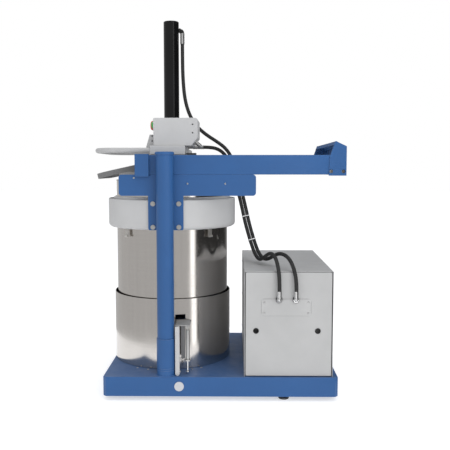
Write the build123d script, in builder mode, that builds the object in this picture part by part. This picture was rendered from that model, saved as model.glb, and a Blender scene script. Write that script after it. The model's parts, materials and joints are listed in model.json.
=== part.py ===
from build123d import *

import os
from math import cos, pi, radians, sin, sqrt, tan

os.makedirs("parts", exist_ok=True)

# A hydraulic in-drum compactor: a round chamber stands on a tray between two columns, a press head
# rolls along two rails over the chamber, and its cylinder pushes a plate down into the drum.
# Millimetres, +Z up. The floor is z = 0 and the origin is the middle of the footprint.
# "Front" is -Y, the side with the hose connections. The side values -1 and +1 mean front and rear.

# ---------------------------------------------------------------- driving dimensions

# Tray
foot_drop = 22.0  # clear height under the tray
tray_height = 93.0
tray_left = 295.0  # chamber axis to the tray's left end
tray_right = 812.0  # chamber axis to the tray's right end
tray_depth = 836.0
tray_wall = 4.0
tray_bevel = 14.0
tray_fold = 3.0
foot_radius = 25.0
foot_pad = 9.0
foot_stud = 6.0  # radius
plug_radius = 22.5
plug_hole = 18.0
plug_head = 4.0
plug_x = 65.0
plug_height = 67.0

# Chamber
tube_radius = 286.0
tube_wall = 2.0
tube_bottom = 330.0  # heights from here on are above the tray's top
tube_top = 917.0
tube_bead = 3.0
jacket_radius = 300.0
jacket_wall = 3.0
jacket_height = 345.0
jacket_rest = 1.0
collar_radius = 327.6
collar_wall = 3.0
collar_bottom = 682.0
collar_top = 826.0
collar_round = 20.0
collar_recess = 6.0
seal_width = 16.0
seal_height = 18.0
skin_gap = 0.3  # between round skins that nest

# Columns and side plates
column_radius = 40.0
column_wall = 4.0
column_gap = 7.4  # between the collar and the columns
column_y = collar_radius + column_gap + column_radius
column_height = 1041.0
cap_lip = 5.0
cap_radius = column_radius + cap_lip
cap_height = 13.0
socket_wall = 3.2
socket_radius = column_radius + skin_gap + socket_wall
socket_height = 177.0
plate_wall = 5.0
plate_face = 333.3  # outer face of the side plate, from the middle plane
plate_left = 222.0
plate_right = 426.0
plate_bottom = 848.0
plate_round = 15.0
wing_half = 83.6
wing_bottom = 685.0
wing_bolt_x = 61.5
wing_bolt_heights = (699.0, 810.0)
bolt_radius = 6.0
screw_radius = 2.5

# Rails and end console
rail_bottom = 948.0
rail_height = 92.0
rail_wall = 5.0
rail_flange = 40.0
rail_face = 334.8  # outer face of the rail's web, from the middle plane
rail_left = 138.0
console_end = 848.5
console_low = 943.0
console_shoulder = 1079.0
console_peak = 1104.0
console_peak_x = 800.0
console_wall = 4.0
console_plate_left = 766.0
console_bolt_x = (777.0, 834.0)
console_bolt_height = 963.0
console_bolt_radius = 4.0

# Press head
wheel_radius = 38.0
wheel_width = 22.0
wheel_x = (-42.0, 40.0)
wheel_gap = 0.3
axle_radius = 8.0
run_clearance = 0.05  # radial, shafts in their holes
deck_left = 78.0
deck_right = 68.0
deck_half = 262.0
deck_height = 1044.0
deck_wall = 8.0
cheek_wall = 6.0
cheek_bottom = 966.0
shroud_left = 82.0
shroud_right = 87.0
shroud_half = 268.0
shroud_wall = 2.5
shroud_front_top = 1086.0
shroud_rear_top = 1076.0
plinth_rear = -46.0  # y where the taller front of the shroud ends
box_left = 65.0
box_right = 147.0
box_front = 250.0
box_depth = 202.0
box_top = 1219.0
box_wall = 2.0
box_round = 12.0
box_chamfer = (30.0, 38.0)
wedge_half = 200.0
grip_reach = 364.0  # chamber axis to the outside of the handle
grip_radius = 12.5
grip_half = 249.5
grip_height = 1064.0
grip_corner = 95.0
bow_pivot = (0.0, 1017.0)
bow_reach = 358.0  # chamber axis to the outside of the bow
bow_tilt = 12.6  # degrees below level
bow_half = 235.0
bow_strip = 5.0
bow_depth = 25.0
bow_corner = 95.0

# Cylinder and press plate
cylinder_radius = 39.0
cylinder_bore = 33.0
cylinder_foot = 1060.0
cylinder_top = 1712.0
rod_radius = 22.5
rod_low = 940.0
rod_high = 1650.0
piston_height = 35.0
press_radius = 274.0
press_low = 928.0
press_wall = 12.0
press_rim = 20.0
press_hub_radius = 42.0
press_hub_height = 34.0

# Jacket lift
post_left = 46.0
post_right = 66.0
post_front = 400.0
post_wall = 12.0
post_top = 235.0
lift_plate_height = 237.0
lift_plate_wall = 4.0
spring_x = 103.0
spring_y = 370.0
spring_radius = 9.0
spring_bore = 6.5
spring_low = 72.0
spring_high = 215.0
spring_rod = 4.0

# Power unit
unit_left = 371.0
unit_right = 786.0
unit_front = 406.0
unit_back = 392.0
unit_height = 500.0
unit_wall = 2.0
unit_reveal = 4.0
hose_x = (533.0, 611.0)
hose_port_height = 366.0
hose_drop = 430.0  # y of the hoses where they hang in front of the unit, towards the front
ferrule_top = 409.0
hatch_left = 451.0
hatch_right = 682.0
hatch_low = 291.0
hatch_high = 370.0

# Hoses
hose_radius = 9.0
upper_ferrule_end = 1612.0
upper_hose_x = 57.0
lower_hose_height = 1087.0
lower_ferrule_end = 165.0

# ---------------------------------------------------------------- derived frame

tray_top = foot_drop + tray_height
axis_x = (grip_reach - console_end) / 2  # the chamber's axis, so that the footprint is centred
chamber_axis = Axis((axis_x, 0, 0), (0, 0, 1))
rail_top = rail_bottom + rail_height
unit_mid = (unit_left + unit_right) / 2


def level(height):
    """A height above the tray's top, as a height above the floor."""
    return tray_top + height


def flat(height):
    """The horizontal plane at a height above the tray's top, centred on the chamber's axis."""
    return Plane((axis_x, 0, level(height)))


def upright(y):
    """A plane across the depth at y: local x is along X from the chamber's axis, local y is the height
    above the tray's top, and an extrusion runs towards the front."""
    return Plane((axis_x, y, tray_top), x_dir=(1, 0, 0), z_dir=(0, -1, 0))


def crosswise(x):
    """A plane across the length at x from the chamber's axis: local x is along Y, local y is the height
    above the tray's top, and an extrusion runs to the right."""
    return Plane((axis_x + x, 0, tray_top), x_dir=(0, 1, 0), z_dir=(1, 0, 0))


def save(made, name):
    """Label a finished piece and write it."""
    made.part.label = name
    export_step(made.part, f"parts/{name}.step")


def slab(x_low, x_high, y_low, y_high, z_low, z_high, mode=Mode.ADD):
    """A box between two corners, in chamber coordinates, joined to the open part."""
    with BuildSketch(flat(z_low)) as face:
        with Locations(((x_low + x_high) / 2, (y_low + y_high) / 2)):
            Rectangle(x_high - x_low, y_high - y_low)
    extrude(face.sketch, amount=z_high - z_low, mode=mode)


def post(x, y, radius, z_low, z_high, mode=Mode.ADD):
    """A vertical cylinder, in chamber coordinates, joined to the open part."""
    with BuildSketch(flat(z_low)) as face:
        with Locations((x, y)):
            Circle(radius)
    extrude(face.sketch, amount=z_high - z_low, mode=mode)


def rod_y(x, z, radius, y_low, y_high, mode=Mode.ADD):
    """A cylinder along Y, in chamber coordinates, joined to the open part."""
    with BuildSketch(upright(y_high)) as face:
        with Locations((x, z)):
            Circle(radius)
    extrude(face.sketch, amount=y_high - y_low, mode=mode)


def rod_x(y, z, radius, x_low, x_high, mode=Mode.ADD):
    """A cylinder along X, in chamber coordinates, joined to the open part."""
    with BuildSketch(crosswise(x_low)) as face:
        with Locations((y, z)):
            Circle(radius)
    extrude(face.sketch, amount=x_high - x_low, mode=mode)


def span(side, inner, outer):
    """The y range between two distances from the middle plane, on the front or the rear."""
    return tuple(sorted((side * inner, side * outer)))


# ---------------------------------------------------------------- tray and feet

foot_places = [(-240.0, -290.0), (-240.0, 290.0), (560.0, -372.0), (560.0, 372.0)]
member_x = (-240.0, 0.0, 280.0, 560.0)
member_width = 40.0
member_height = 60.0
member_wall = 3.0
member_half = tray_depth / 2 - tray_wall - 0.5
member_low = -tray_wall - member_height

with BuildPart() as base_tray:
    with BuildSketch(flat(-tray_height)) as tray_outline:
        with Locations(((tray_right - tray_left) / 2, 0)):
            Rectangle(tray_left + tray_right, tray_depth)
        chamfer(tray_outline.vertices(), tray_bevel)
    extrude(amount=tray_height)
    fillet(base_tray.faces().sort_by(Axis.Z)[-1].edges(), tray_fold)
    with BuildSketch(flat(-tray_height)) as tray_inside:
        with Locations(((tray_right - tray_left) / 2, 0)):
            Rectangle(tray_left + tray_right - 2 * tray_wall, tray_depth - 2 * tray_wall)
        chamfer(tray_inside.vertices(), tray_bevel - (2 - sqrt(2)) * tray_wall)
    extrude(amount=tray_height - tray_wall, mode=Mode.SUBTRACT)
    rod_y(plug_x, plug_height - tray_height - 19.0, plug_hole, -tray_depth, tray_depth, Mode.SUBTRACT)
save(base_tray, "base_tray")

with BuildPart() as tray_cross_members:
    for x in member_x:
        with BuildSketch(upright(member_half)):
            with Locations((x, -tray_wall - member_height / 2)):
                Rectangle(member_width, member_height)
                Rectangle(
                    member_width - 2 * member_wall, member_height - 2 * member_wall, mode=Mode.SUBTRACT
                )
        extrude(amount=2 * member_half)
    for x, y in foot_places:
        post(x, y, foot_stud + 0.3, member_low - 1, member_low + member_wall + 1, Mode.SUBTRACT)
save(tray_cross_members, "tray_cross_members")

with BuildPart() as base_plugs:
    for side in (-1, 1):
        face = tray_depth / 2
        rod_y(plug_x, plug_height - tray_height - 19.0, plug_radius, *span(side, face, face + plug_head))
        rod_y(plug_x, plug_height - tray_height - 19.0, plug_hole - 0.2, *span(side, face - 12, face))
    fillet(base_plugs.faces().filter_by(Axis.Y).sort_by(Axis.Y)[0].edges(), 1.5)
    fillet(base_plugs.faces().filter_by(Axis.Y).sort_by(Axis.Y)[-1].edges(), 1.5)
save(base_plugs, "base_plugs")

with BuildPart() as levelling_feet:
    nut_height = 9.0
    for x, y in foot_places:
        post(x, y, foot_radius, -tray_height - foot_drop, -tray_height - foot_drop + foot_pad)
        post(x, y, foot_stud, -tray_height - foot_drop + foot_pad, member_low + 22)
    fillet(levelling_feet.faces().sort_by(Axis.Z)[0:4].edges(), 2.0)
    for x, y in foot_places:
        with BuildSketch(flat(member_low - nut_height)):
            with Locations((x, y)):
                RegularPolygon(10.5, 6)
                Circle(foot_stud + run_clearance, mode=Mode.SUBTRACT)
        extrude(amount=nut_height)
save(levelling_feet, "levelling_feet")

# ---------------------------------------------------------------- columns

column_names = {-1: "column_front", 1: "column_rear"}
for side in (-1, 1):
    with BuildPart() as column:
        with BuildSketch(flat(0)):
            with Locations((0, side * column_y)):
                Circle(column_radius)
                Circle(column_radius - column_wall, mode=Mode.SUBTRACT)
        extrude(amount=column_height)
    save(column, column_names[side])

with BuildPart() as column_sockets:
    for side in (-1, 1):
        with BuildSketch(flat(0)):
            with Locations((0, side * column_y)):
                Circle(socket_radius)
                Circle(column_radius + skin_gap, mode=Mode.SUBTRACT)
        extrude(amount=socket_height)
        for groove in (26.0, 36.0):
            with BuildSketch(flat(groove)):
                with Locations((0, side * column_y)):
                    Circle(socket_radius + 1)
                    Circle(socket_radius - 1, mode=Mode.SUBTRACT)
            extrude(amount=1.5, mode=Mode.SUBTRACT)
    chamfer(column_sockets.faces().sort_by(Axis.Z)[-2:].edges(), 0.8)
save(column_sockets, "column_sockets")

with BuildPart() as column_caps:
    for side in (-1, 1):
        post(0, side * column_y, cap_radius, column_height, column_height + cap_height)
        post(0, side * column_y, column_radius - column_wall - skin_gap, column_height - 18, column_height)
    fillet(column_caps.faces().sort_by(Axis.Z)[-2:].edges(), 6.0)
save(column_caps, "column_caps")

with BuildPart() as column_saddles:
    for side in (-1, 1):
        y_low, y_high = span(side, plate_face, column_y - column_radius + 8)
        slab(-23.0, 23.0, y_low, y_high, wing_bottom + 5, rail_bottom - 5)
        post(0, side * column_y, column_radius + skin_gap, 0, column_height, Mode.SUBTRACT)
save(column_saddles, "column_saddles")

# ---------------------------------------------------------------- side plates and rails

plate_screws = [(103.0, 905.0), (281.0, 905.0), (-150.0, 932.0)]
side_plate_names = {-1: "side_plate_front", 1: "side_plate_rear"}
for side in (-1, 1):
    with BuildPart() as side_plate:
        plate_middle = (plate_right - plate_left) / 2
        with BuildSketch(upright(max(side * plate_face, side * (plate_face - plate_wall)))) as outline:
            with Locations((plate_middle, (plate_bottom + rail_bottom) / 2)):
                RectangleRounded(plate_left + plate_right, rail_bottom - plate_bottom, plate_round)
            with Locations((0, (wing_bottom + plate_bottom + 40) / 2)):
                Rectangle(2 * wing_half, plate_bottom + 40 - wing_bottom)
            fillet(outline.vertices().group_by(Axis.Y)[0], 8.0)
            for bolt_z in wing_bolt_heights:
                with Locations((-wing_bolt_x, bolt_z), (wing_bolt_x, bolt_z)):
                    Circle(bolt_radius + 0.3, mode=Mode.SUBTRACT)
            with Locations(*plate_screws):
                Circle(screw_radius + 0.1, mode=Mode.SUBTRACT)
        extrude(amount=plate_wall)
    save(side_plate, side_plate_names[side])

rail_names = {-1: "rail_front", 1: "rail_rear"}
rail_end = console_end - console_wall - 1.0
for side in (-1, 1):
    with BuildPart() as rail:
        with BuildSketch(crosswise(-rail_left)) as section:
            with Locations((side * (rail_face - rail_flange / 2), rail_bottom + rail_height / 2)):
                Rectangle(rail_flange, rail_height)
            fillet(section.vertices().filter_by(lambda v: abs(v.X) > rail_face - 1), 4.0)
            with Locations((side * (rail_face - rail_flange / 2 - rail_wall), rail_bottom + rail_height / 2)):
                Rectangle(rail_flange, rail_height - 2 * rail_wall, mode=Mode.SUBTRACT)
        extrude(amount=rail_left + rail_end)
        for x in console_bolt_x:
            rod_y(x, console_bolt_height, console_bolt_radius + 0.3, *span(side, rail_face - 8, rail_face + 1),
                  Mode.SUBTRACT)
    save(rail, rail_names[side])

with BuildPart() as rail_end_blocks:
    block_left, block_right, block_low, block_high = -143.0, -77.0, 939.0, 1044.0
    block_depth, block_wall = 17.0, 3.0
    for side in (-1, 1):
        back = rail_face + skin_gap
        slab(block_left, block_right, *span(side, back, back + block_depth), block_low, block_high)
        slab(block_left + block_wall, block_right - block_wall,
             *span(side, back - 1, back + block_depth - block_wall),
             block_low + block_wall, block_high - block_wall, Mode.SUBTRACT)
    fillet(rail_end_blocks.edges().filter_by(Axis.Z).group_by(Axis.Y)[0], 2.0)
    fillet(rail_end_blocks.edges().filter_by(Axis.Z).group_by(Axis.Y)[-1], 2.0)
save(rail_end_blocks, "rail_end_blocks")

# ---------------------------------------------------------------- end console

lip_length = 22.0
lip_x = console_peak_x - lip_length * cos(radians(52))
lip_z = console_peak - lip_length * sin(radians(52))
with BuildPart() as end_console:
    with BuildSketch(upright(rail_face)):
        with BuildLine():
            Polyline(
                (console_end, console_low),
                (console_end, console_shoulder),
                (console_peak_x, console_peak),
                (lip_x, lip_z),
                (lip_x + 3.4, lip_z - 2.2),
                (console_peak_x + 1.5, console_peak - 5.4),
                (console_end - console_wall, console_shoulder - 2.5),
                (console_end - console_wall, console_low),
                close=True,
            )
        make_face()
    extrude(amount=2 * rail_face)
save(end_console, "end_console")

with BuildPart() as console_side_plates:
    for side in (-1, 1):
        y_low, y_high = span(side, rail_face + skin_gap, rail_face + skin_gap + console_wall)
        with BuildSketch(upright(y_high)) as cheek:
            with BuildLine():
                Polyline(
                    (console_plate_left, console_low),
                    (console_plate_left + 5, rail_top - 6),
                    (console_peak_x - 4, console_peak + 1),
                    (console_end, console_shoulder + 1),
                    (console_end, console_low),
                    close=True,
                )
            make_face()
            fillet(cheek.vertices().filter_by(lambda v: v.Y > console_shoulder - 5), 2.0)
            with Locations(*[(x, console_bolt_height) for x in console_bolt_x]):
                Circle(console_bolt_radius + 0.3, mode=Mode.SUBTRACT)
        extrude(amount=y_high - y_low)
save(console_side_plates, "console_side_plates")


def bolt_y(x, z, side, face, tip, shank, washer, across, head):
    """A flanged hex bolt along Y. Its washer face lies at y = side * face and its shank ends at tip."""
    rod_y(x, z, shank, *span(side, tip, face))
    rod_y(x, z, washer, *span(side, face, face + 2))
    y_low, y_high = span(side, face + 2, face + 2 + head)
    with BuildSketch(upright(y_high)) as hexagon:
        with Locations((x, z)):
            RegularPolygon(across / 2 / cos(pi / 6), 6)
    extrude(hexagon.sketch, amount=head)


with BuildPart() as frame_bolts:
    for side in (-1, 1):
        for bolt_z in wing_bolt_heights:
            for x in (-wing_bolt_x, wing_bolt_x):
                bolt_y(x, bolt_z, side, plate_face, 300.0, bolt_radius, 11.5, 17.0, 5.5)
        for x in console_bolt_x:
            bolt_y(x, console_bolt_height, side, rail_face + skin_gap + console_wall, 318.0,
                   console_bolt_radius, 8.0, 12.0, 4.0)
    for bolt_z in (82.0, 18.0):
        rod_x(-post_front + post_wall / 2, bolt_z, 3.0, post_left, post_right)
        with BuildSketch(crosswise(post_right)):
            with Locations((-post_front + post_wall / 2, bolt_z)):
                RegularPolygon(6.4, 6)
        extrude(amount=5.0)
save(frame_bolts, "frame_bolts")

# ---------------------------------------------------------------- chamber

radial = Plane((axis_x, 0, tray_top), x_dir=(1, 0, 0), z_dir=(0, -1, 0))

with BuildPart() as chamber_tube:
    with BuildSketch(radial):
        with Locations((tube_radius - tube_wall / 2, (tube_bottom + tube_top) / 2)):
            Rectangle(tube_wall, tube_top - tube_bottom)
        with Locations((tube_radius - tube_wall / 2, tube_top)):
            Circle(tube_bead)
    revolve(axis=chamber_axis)
save(chamber_tube, "chamber_tube")

collar_bore = tube_radius + skin_gap
with BuildPart() as collar:
    with BuildSketch(radial) as ring:
        with Locations(((collar_bore + collar_radius) / 2, (collar_bottom + collar_top) / 2)):
            Rectangle(collar_radius - collar_bore, collar_top - collar_bottom)
        outer = ring.vertices().group_by(Axis.X)[-1]
        fillet(outer.sort_by(Axis.Y)[0], collar_round)
        fillet(ring.vertices().group_by(Axis.X)[-1].sort_by(Axis.Y)[-1], 2.0)
    revolve(axis=chamber_axis)
    with BuildSketch(radial) as hollow:
        inner_right = collar_radius - collar_wall
        hollow_low = collar_bottom + collar_wall
        hollow_high = collar_top - collar_recess - collar_wall
        with Locations(((collar_bore - 4 + inner_right) / 2, (hollow_low + hollow_high) / 2)):
            Rectangle(inner_right - collar_bore + 4, hollow_high - hollow_low)
        fillet(hollow.vertices().group_by(Axis.X)[-1].sort_by(Axis.Y)[0], collar_round - collar_wall)
        with Locations(((collar_bore - 4 + inner_right) / 2, collar_top)):
            Rectangle(inner_right - collar_bore + 4, 2 * collar_recess)
    revolve(axis=chamber_axis, mode=Mode.SUBTRACT)
    for side in (-1, 1):
        for bolt_z in wing_bolt_heights:
            for x in (-wing_bolt_x, wing_bolt_x):
                rod_y(x, bolt_z, bolt_radius + 0.3, *span(side, 300, 340), Mode.SUBTRACT)
save(collar, "collar")

with BuildPart() as collar_seal:
    seal_low = collar_top - collar_recess
    with BuildSketch(radial) as bead:
        with Locations((collar_bore + seal_width / 2, seal_low + seal_height / 2)):
            Rectangle(seal_width, seal_height)
        fillet(bead.vertices().group_by(Axis.X)[-1].sort_by(Axis.Y)[-1], 12.0)
    revolve(axis=chamber_axis)
save(collar_seal, "collar_seal")

hook_turn = 43.0  # degrees either side of the front and of the rear
with BuildPart() as bag_hooks:
    for turn in (90 - hook_turn, 90 + hook_turn, 270 - hook_turn, 270 + hook_turn):
        seat = Plane((axis_x, 0, level(collar_bottom)), x_dir=(cos(radians(turn)), sin(radians(turn)), 0))
        with BuildSketch(seat.offset(-2)):
            with Locations((tube_radius + 8, 0)):
                Rectangle(12, 26)
        extrude(amount=2)
        with BuildSketch(seat.offset(-42)):
            with Locations((tube_radius + 13, 0)):
                Rectangle(2, 26)
        extrude(amount=40)
save(bag_hooks, "bag_hooks")

with BuildPart() as jacket:
    with BuildSketch(radial) as skin:
        with Locations((jacket_radius - jacket_wall / 2, jacket_rest + jacket_height / 2)):
            Rectangle(jacket_wall, jacket_height)
        fillet(skin.vertices(), 1.2)
    revolve(axis=chamber_axis)
    slab(38.0, 87.0, -jacket_radius - 10, -jacket_radius + 40, lift_plate_height + 9,
         lift_plate_height + 34, Mode.SUBTRACT)
save(jacket, "jacket")

# ---------------------------------------------------------------- jacket lift

with BuildPart() as lift_bracket:
    slab(post_left, spring_x + 12, -post_front + post_wall, -jacket_radius + 20, lift_plate_height,
         lift_plate_height + lift_plate_wall)
    slab(post_right + 2, post_right + 22, -jacket_radius - 26, -jacket_radius - 20, 62.0, lift_plate_height)
    post(0, 0, jacket_radius + skin_gap, 0, 400.0, Mode.SUBTRACT)
    post(0, -column_y, column_radius + 2, 0, 400.0, Mode.SUBTRACT)
save(lift_bracket, "lift_bracket")

with BuildPart() as guide_post:
    with BuildSketch(upright(-post_front + post_wall)) as bar:
        post_width = post_right - post_left
        with Locations(((post_left + post_right) / 2, (0.5 + post_top) / 2)):
            Rectangle(post_width, post_top - 0.5)
        fillet(bar.vertices().group_by(Axis.Y)[0], post_width / 2 - 0.5)
    extrude(amount=post_wall)
    for bolt_z in (82.0, 18.0):
        rod_x(-post_front + post_wall / 2, bolt_z, 3.0 + run_clearance, post_left - 1, post_right + 1,
              Mode.SUBTRACT)
save(guide_post, "guide_post")

eye_top = lift_plate_height - 0.5
with BuildPart() as gas_spring_body:
    post(spring_x, -spring_y, spring_radius, spring_low, spring_high)
    post(spring_x, -spring_y, 16.0, spring_low - 6, spring_low)
    fillet(gas_spring_body.faces().sort_by(Axis.Z)[-1].edges(), 3.0)
    post(spring_x, -spring_y, spring_bore, spring_low, spring_high - 5, Mode.SUBTRACT)
    post(spring_x, -spring_y, spring_rod + run_clearance, spring_low - 7, spring_low + 1, Mode.SUBTRACT)
    rod_y(spring_x, eye_top - 9, 9.0, -spring_y - 4, -spring_y + 4)
    slab(spring_x - 4, spring_x + 4, -spring_y - 4, -spring_y + 4, spring_high - 1, eye_top - 9)
    rod_y(spring_x, eye_top - 9, 4.0, -spring_y - 8, -spring_y + 8)
save(gas_spring_body, "gas_spring_body")

with BuildPart() as gas_spring_rod:
    post(spring_x, -spring_y, spring_rod, 14.0, spring_high - 12)
    post(spring_x, -spring_y, spring_bore - run_clearance, spring_high - 20, spring_high - 12)
    with Locations((axis_x + spring_x, -spring_y, level(12.0))):
        Sphere(8.0)
    post(spring_x, -spring_y, 5.0, 0, 8.0)
save(gas_spring_rod, "gas_spring_rod")

# ---------------------------------------------------------------- press head: carriage

wheel_height = rail_bottom + rail_wall + wheel_gap + wheel_radius
wheel_inner = rail_face - rail_wall - 5.0 - wheel_width
with BuildPart() as carriage_frame:
    slab(-deck_left, deck_right, -deck_half, deck_half, deck_height, deck_height + deck_wall)
    for side in (-1, 1):
        slab(-deck_left, deck_right, *span(side, deck_half - cheek_wall, deck_half), cheek_bottom, deck_height)
        rod_y(bow_pivot[0], bow_pivot[1], 9.0, *span(side, deck_half - cheek_wall - 12, deck_half - cheek_wall))
    for rib_x in (-60.0, 50.0):
        for side in (-1, 1):
            slab(rib_x - 4, rib_x + 4, *span(side, 70.0, bow_half - 13), deck_height - 18, deck_height)
    post(0, 0, 30.0, deck_height - 1, deck_height + deck_wall + 1, Mode.SUBTRACT)
    for side in (-1, 1):
        for x in wheel_x:
            rod_y(x, wheel_height, axle_radius + run_clearance, *span(side, deck_half - 10, deck_half + 1),
                  Mode.SUBTRACT)
        rod_y(bow_pivot[0], bow_pivot[1], 6.0 + run_clearance, *span(side, deck_half - 30, deck_half + 1),
              Mode.SUBTRACT)
save(carriage_frame, "carriage_frame")

with BuildPart() as carriage_pins:
    wheel_outer = wheel_inner + wheel_width
    for side in (-1, 1):
        for x in wheel_x:
            rod_y(x, wheel_height, axle_radius, *span(side, deck_half - cheek_wall, wheel_outer + 2))
            rod_y(x, wheel_height, 12.0, *span(side, deck_half + 0.3, wheel_inner - 0.5))
            rod_y(x, wheel_height, 11.0, *span(side, wheel_outer + 0.5, wheel_outer + 3.5))
        rod_y(bow_pivot[0], bow_pivot[1], 6.0, *span(side, bow_half - bow_strip - 5, deck_half + 6))
        rod_y(bow_pivot[0], bow_pivot[1], 9.0, *span(side, deck_half + 0.3, deck_half + 6))
        rod_y(bow_pivot[0], bow_pivot[1], 9.0, *span(side, bow_half - bow_strip - 6, bow_half - bow_strip - 1))
save(carriage_pins, "carriage_pins")

for name, x in zip(("wheels_left", "wheels_right"), wheel_x):
    with BuildPart() as wheels:
        for side in (-1, 1):
            y_low, y_high = span(side, wheel_inner, wheel_inner + wheel_width)
            rod_y(x, wheel_height, wheel_radius, y_low, y_high)
            rod_y(x, wheel_height, wheel_radius - 8, *span(side, wheel_inner + wheel_width - 5,
                  wheel_inner + wheel_width + 1), Mode.SUBTRACT)
            rod_y(x, wheel_height, 14.0, *span(side, wheel_inner + wheel_width - 5, wheel_inner + wheel_width))
            rod_y(x, wheel_height, axle_radius + run_clearance, y_low - 1, y_high + 1, Mode.SUBTRACT)
    save(wheels, name)

with BuildPart() as carriage_shroud:
    slab(-shroud_left, shroud_right, -shroud_half, plinth_rear, deck_height, shroud_front_top)
    slab(-shroud_left, shroud_right, plinth_rear, shroud_half, deck_height, shroud_rear_top)
    fillet(carriage_shroud.edges().filter_by(Axis.Z), 5.0)
    fillet(carriage_shroud.faces().filter_by(Axis.Z).sort_by(Axis.Z)[-1].edges().filter_by(Axis.X), 3.0)
    wall = shroud_wall
    slab(-shroud_left + wall, shroud_right - wall, -shroud_half + wall, plinth_rear - wall,
         deck_height - 1, shroud_front_top - wall, Mode.SUBTRACT)
    slab(-shroud_left + wall, shroud_right - wall, plinth_rear - wall - 1, shroud_half - wall,
         deck_height - 1, shroud_rear_top - wall, Mode.SUBTRACT)
    for side in (-1, 1):
        y_low, y_high = span(side, shroud_half, shroud_half + 1.5)
        with BuildSketch(upright(y_high)) as pad:
            with Locations((-5.0, deck_height + 19.0)):
                Rectangle(146.0, 34.0)
            right = pad.vertices().group_by(Axis.X)[-1].sort_by(Axis.Y)[0]
            fillet(right, 12.0)
        extrude(amount=1.5)
    post(0, 0, cylinder_radius + 1, deck_height, shroud_front_top + 5, Mode.SUBTRACT)
save(carriage_shroud, "carriage_shroud")

with BuildPart() as head_buffers:
    for side in (-1, 1):
        slab(shroud_right + 8, shroud_right + 52, *span(side, 205, 258), 1028.0, 1051.0)
        slab(shroud_right, shroud_right + 8, *span(side, 212, 251), deck_height + 1, 1049.0)
    fillet(head_buffers.edges().filter_by(Axis.Z).group_by(Axis.X)[-1], 3.0)
save(head_buffers, "head_buffers")

# ---------------------------------------------------------------- press head: covers and controls

with BuildPart() as operator_wedge:
    wedge_points = [(-109.0, 1077.0), (-90.0, 1142.0), (-box_left - 0.5, 1142.0),
                    (-box_left - 0.5, shroud_front_top + 0.5), (-shroud_left - 0.5, shroud_front_top + 0.5),
                    (-shroud_left - 0.5, 1077.0)]
    with BuildSketch(upright(-48.0)):
        with BuildLine():
            Polyline(*wedge_points, close=True)
        make_face()
    extrude(amount=wedge_half - 48.0)
    fillet(operator_wedge.edges().filter_by(Axis.Y).group_by(Axis.X)[0], 3.0)
    with BuildSketch(upright(-51.0)):
        with BuildLine():
            Polyline((-105.5, 1080.0), (-88.0, 1139.0), (-box_left - 4, 1139.0),
                     (-box_left - 4, shroud_front_top + 4), (-shroud_left - 4, shroud_front_top + 4),
                     (-shroud_left - 4, 1080.0), close=True)
        make_face()
    extrude(amount=wedge_half - 54.0, mode=Mode.SUBTRACT)
save(operator_wedge, "operator_wedge")


def box_outline(inset):
    """The control box's front outline, moved in by inset: rounded top corners, one lower corner cut."""
    cut_x, cut_z = box_chamfer
    low = shroud_front_top + 1.0
    pull = inset * tan(radians(24))
    with BuildSketch(upright(-box_front + inset)) as outline:
        with BuildLine():
            Polyline(
                (-box_left + inset, low + inset),
                (-box_left + inset, box_top - inset),
                (box_right - inset, box_top - inset),
                (box_right - inset, low + cut_z + pull),
                (box_right - cut_x - pull, low + inset),
                close=True,
            )
        make_face()
        fillet(outline.vertices().group_by(Axis.Y)[-1].sort_by(Axis.X)[-1], box_round - inset)
        fillet(outline.vertices().group_by(Axis.Y)[-1].sort_by(Axis.X)[0], 4.0 - inset)
    return outline


with BuildPart() as control_box:
    extrude(box_outline(0.0).sketch, amount=-box_depth)
    extrude(box_outline(box_wall).sketch, amount=-(box_depth - 2 * box_wall), mode=Mode.SUBTRACT)
save(control_box, "control_box")

stop_y = -138.0
start_y = -190.0
button_height = 1189.0
stop_stem = 8.0  # radii
stop_head = 23.5
start_head = 15.0
with BuildPart() as switch_housing:
    with BuildSketch(crosswise(-box_left - 6)):
        with Locations(((stop_y + start_y) / 2, button_height)):
            RectangleRounded(112, 62, 8)
    extrude(amount=6)
    with BuildSketch(crosswise(-box_left - 6)):
        with Locations((stop_y, button_height)):
            Circle(stop_stem + run_clearance)
        with Locations((start_y, button_height)):
            Circle(start_head + run_clearance)
    extrude(amount=6, mode=Mode.SUBTRACT)
    slab(-box_left - 7, -box_left - 0.5, start_y - 12, start_y + 12, 1144.0, 1155.0)
save(switch_housing, "switch_housing")

button_travel = 4.0
button_seat = -box_left - button_travel - 0.5  # inner end of both stems, clear of the wall when pressed
with BuildPart() as stop_button:
    rod_x(stop_y, button_height, stop_stem, -box_left - 16, button_seat)
    rod_x(stop_y, button_height, stop_head, -box_left - 28, -box_left - 16)
    fillet(stop_button.faces().sort_by(Axis.X)[0].edges(), 6.0)
save(stop_button, "stop_button")

with BuildPart() as start_button:
    rod_x(start_y, button_height, start_head, -box_left - 17, button_seat)
    fillet(start_button.faces().sort_by(Axis.X)[0].edges(), 2.0)
save(start_button, "start_button")

gland_plane = Plane(
    (axis_x + box_right - box_chamfer[0] / 2, -150.0, level(shroud_front_top + 1 + box_chamfer[1] / 2)),
    x_dir=(0, 1, 0),
    z_dir=(box_chamfer[1], 0, -box_chamfer[0]),
)
with BuildPart() as cable_gland:
    with BuildSketch(gland_plane):
        RegularPolygon(12.0, 6)
    extrude(amount=8)
    with BuildSketch(gland_plane.offset(8)):
        Circle(9.5)
    extrude(amount=24)
    fillet(cable_gland.faces().sort_by(Axis(gland_plane.origin, gland_plane.z_dir))[-1].edges(), 2.0)
save(cable_gland, "cable_gland")

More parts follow.
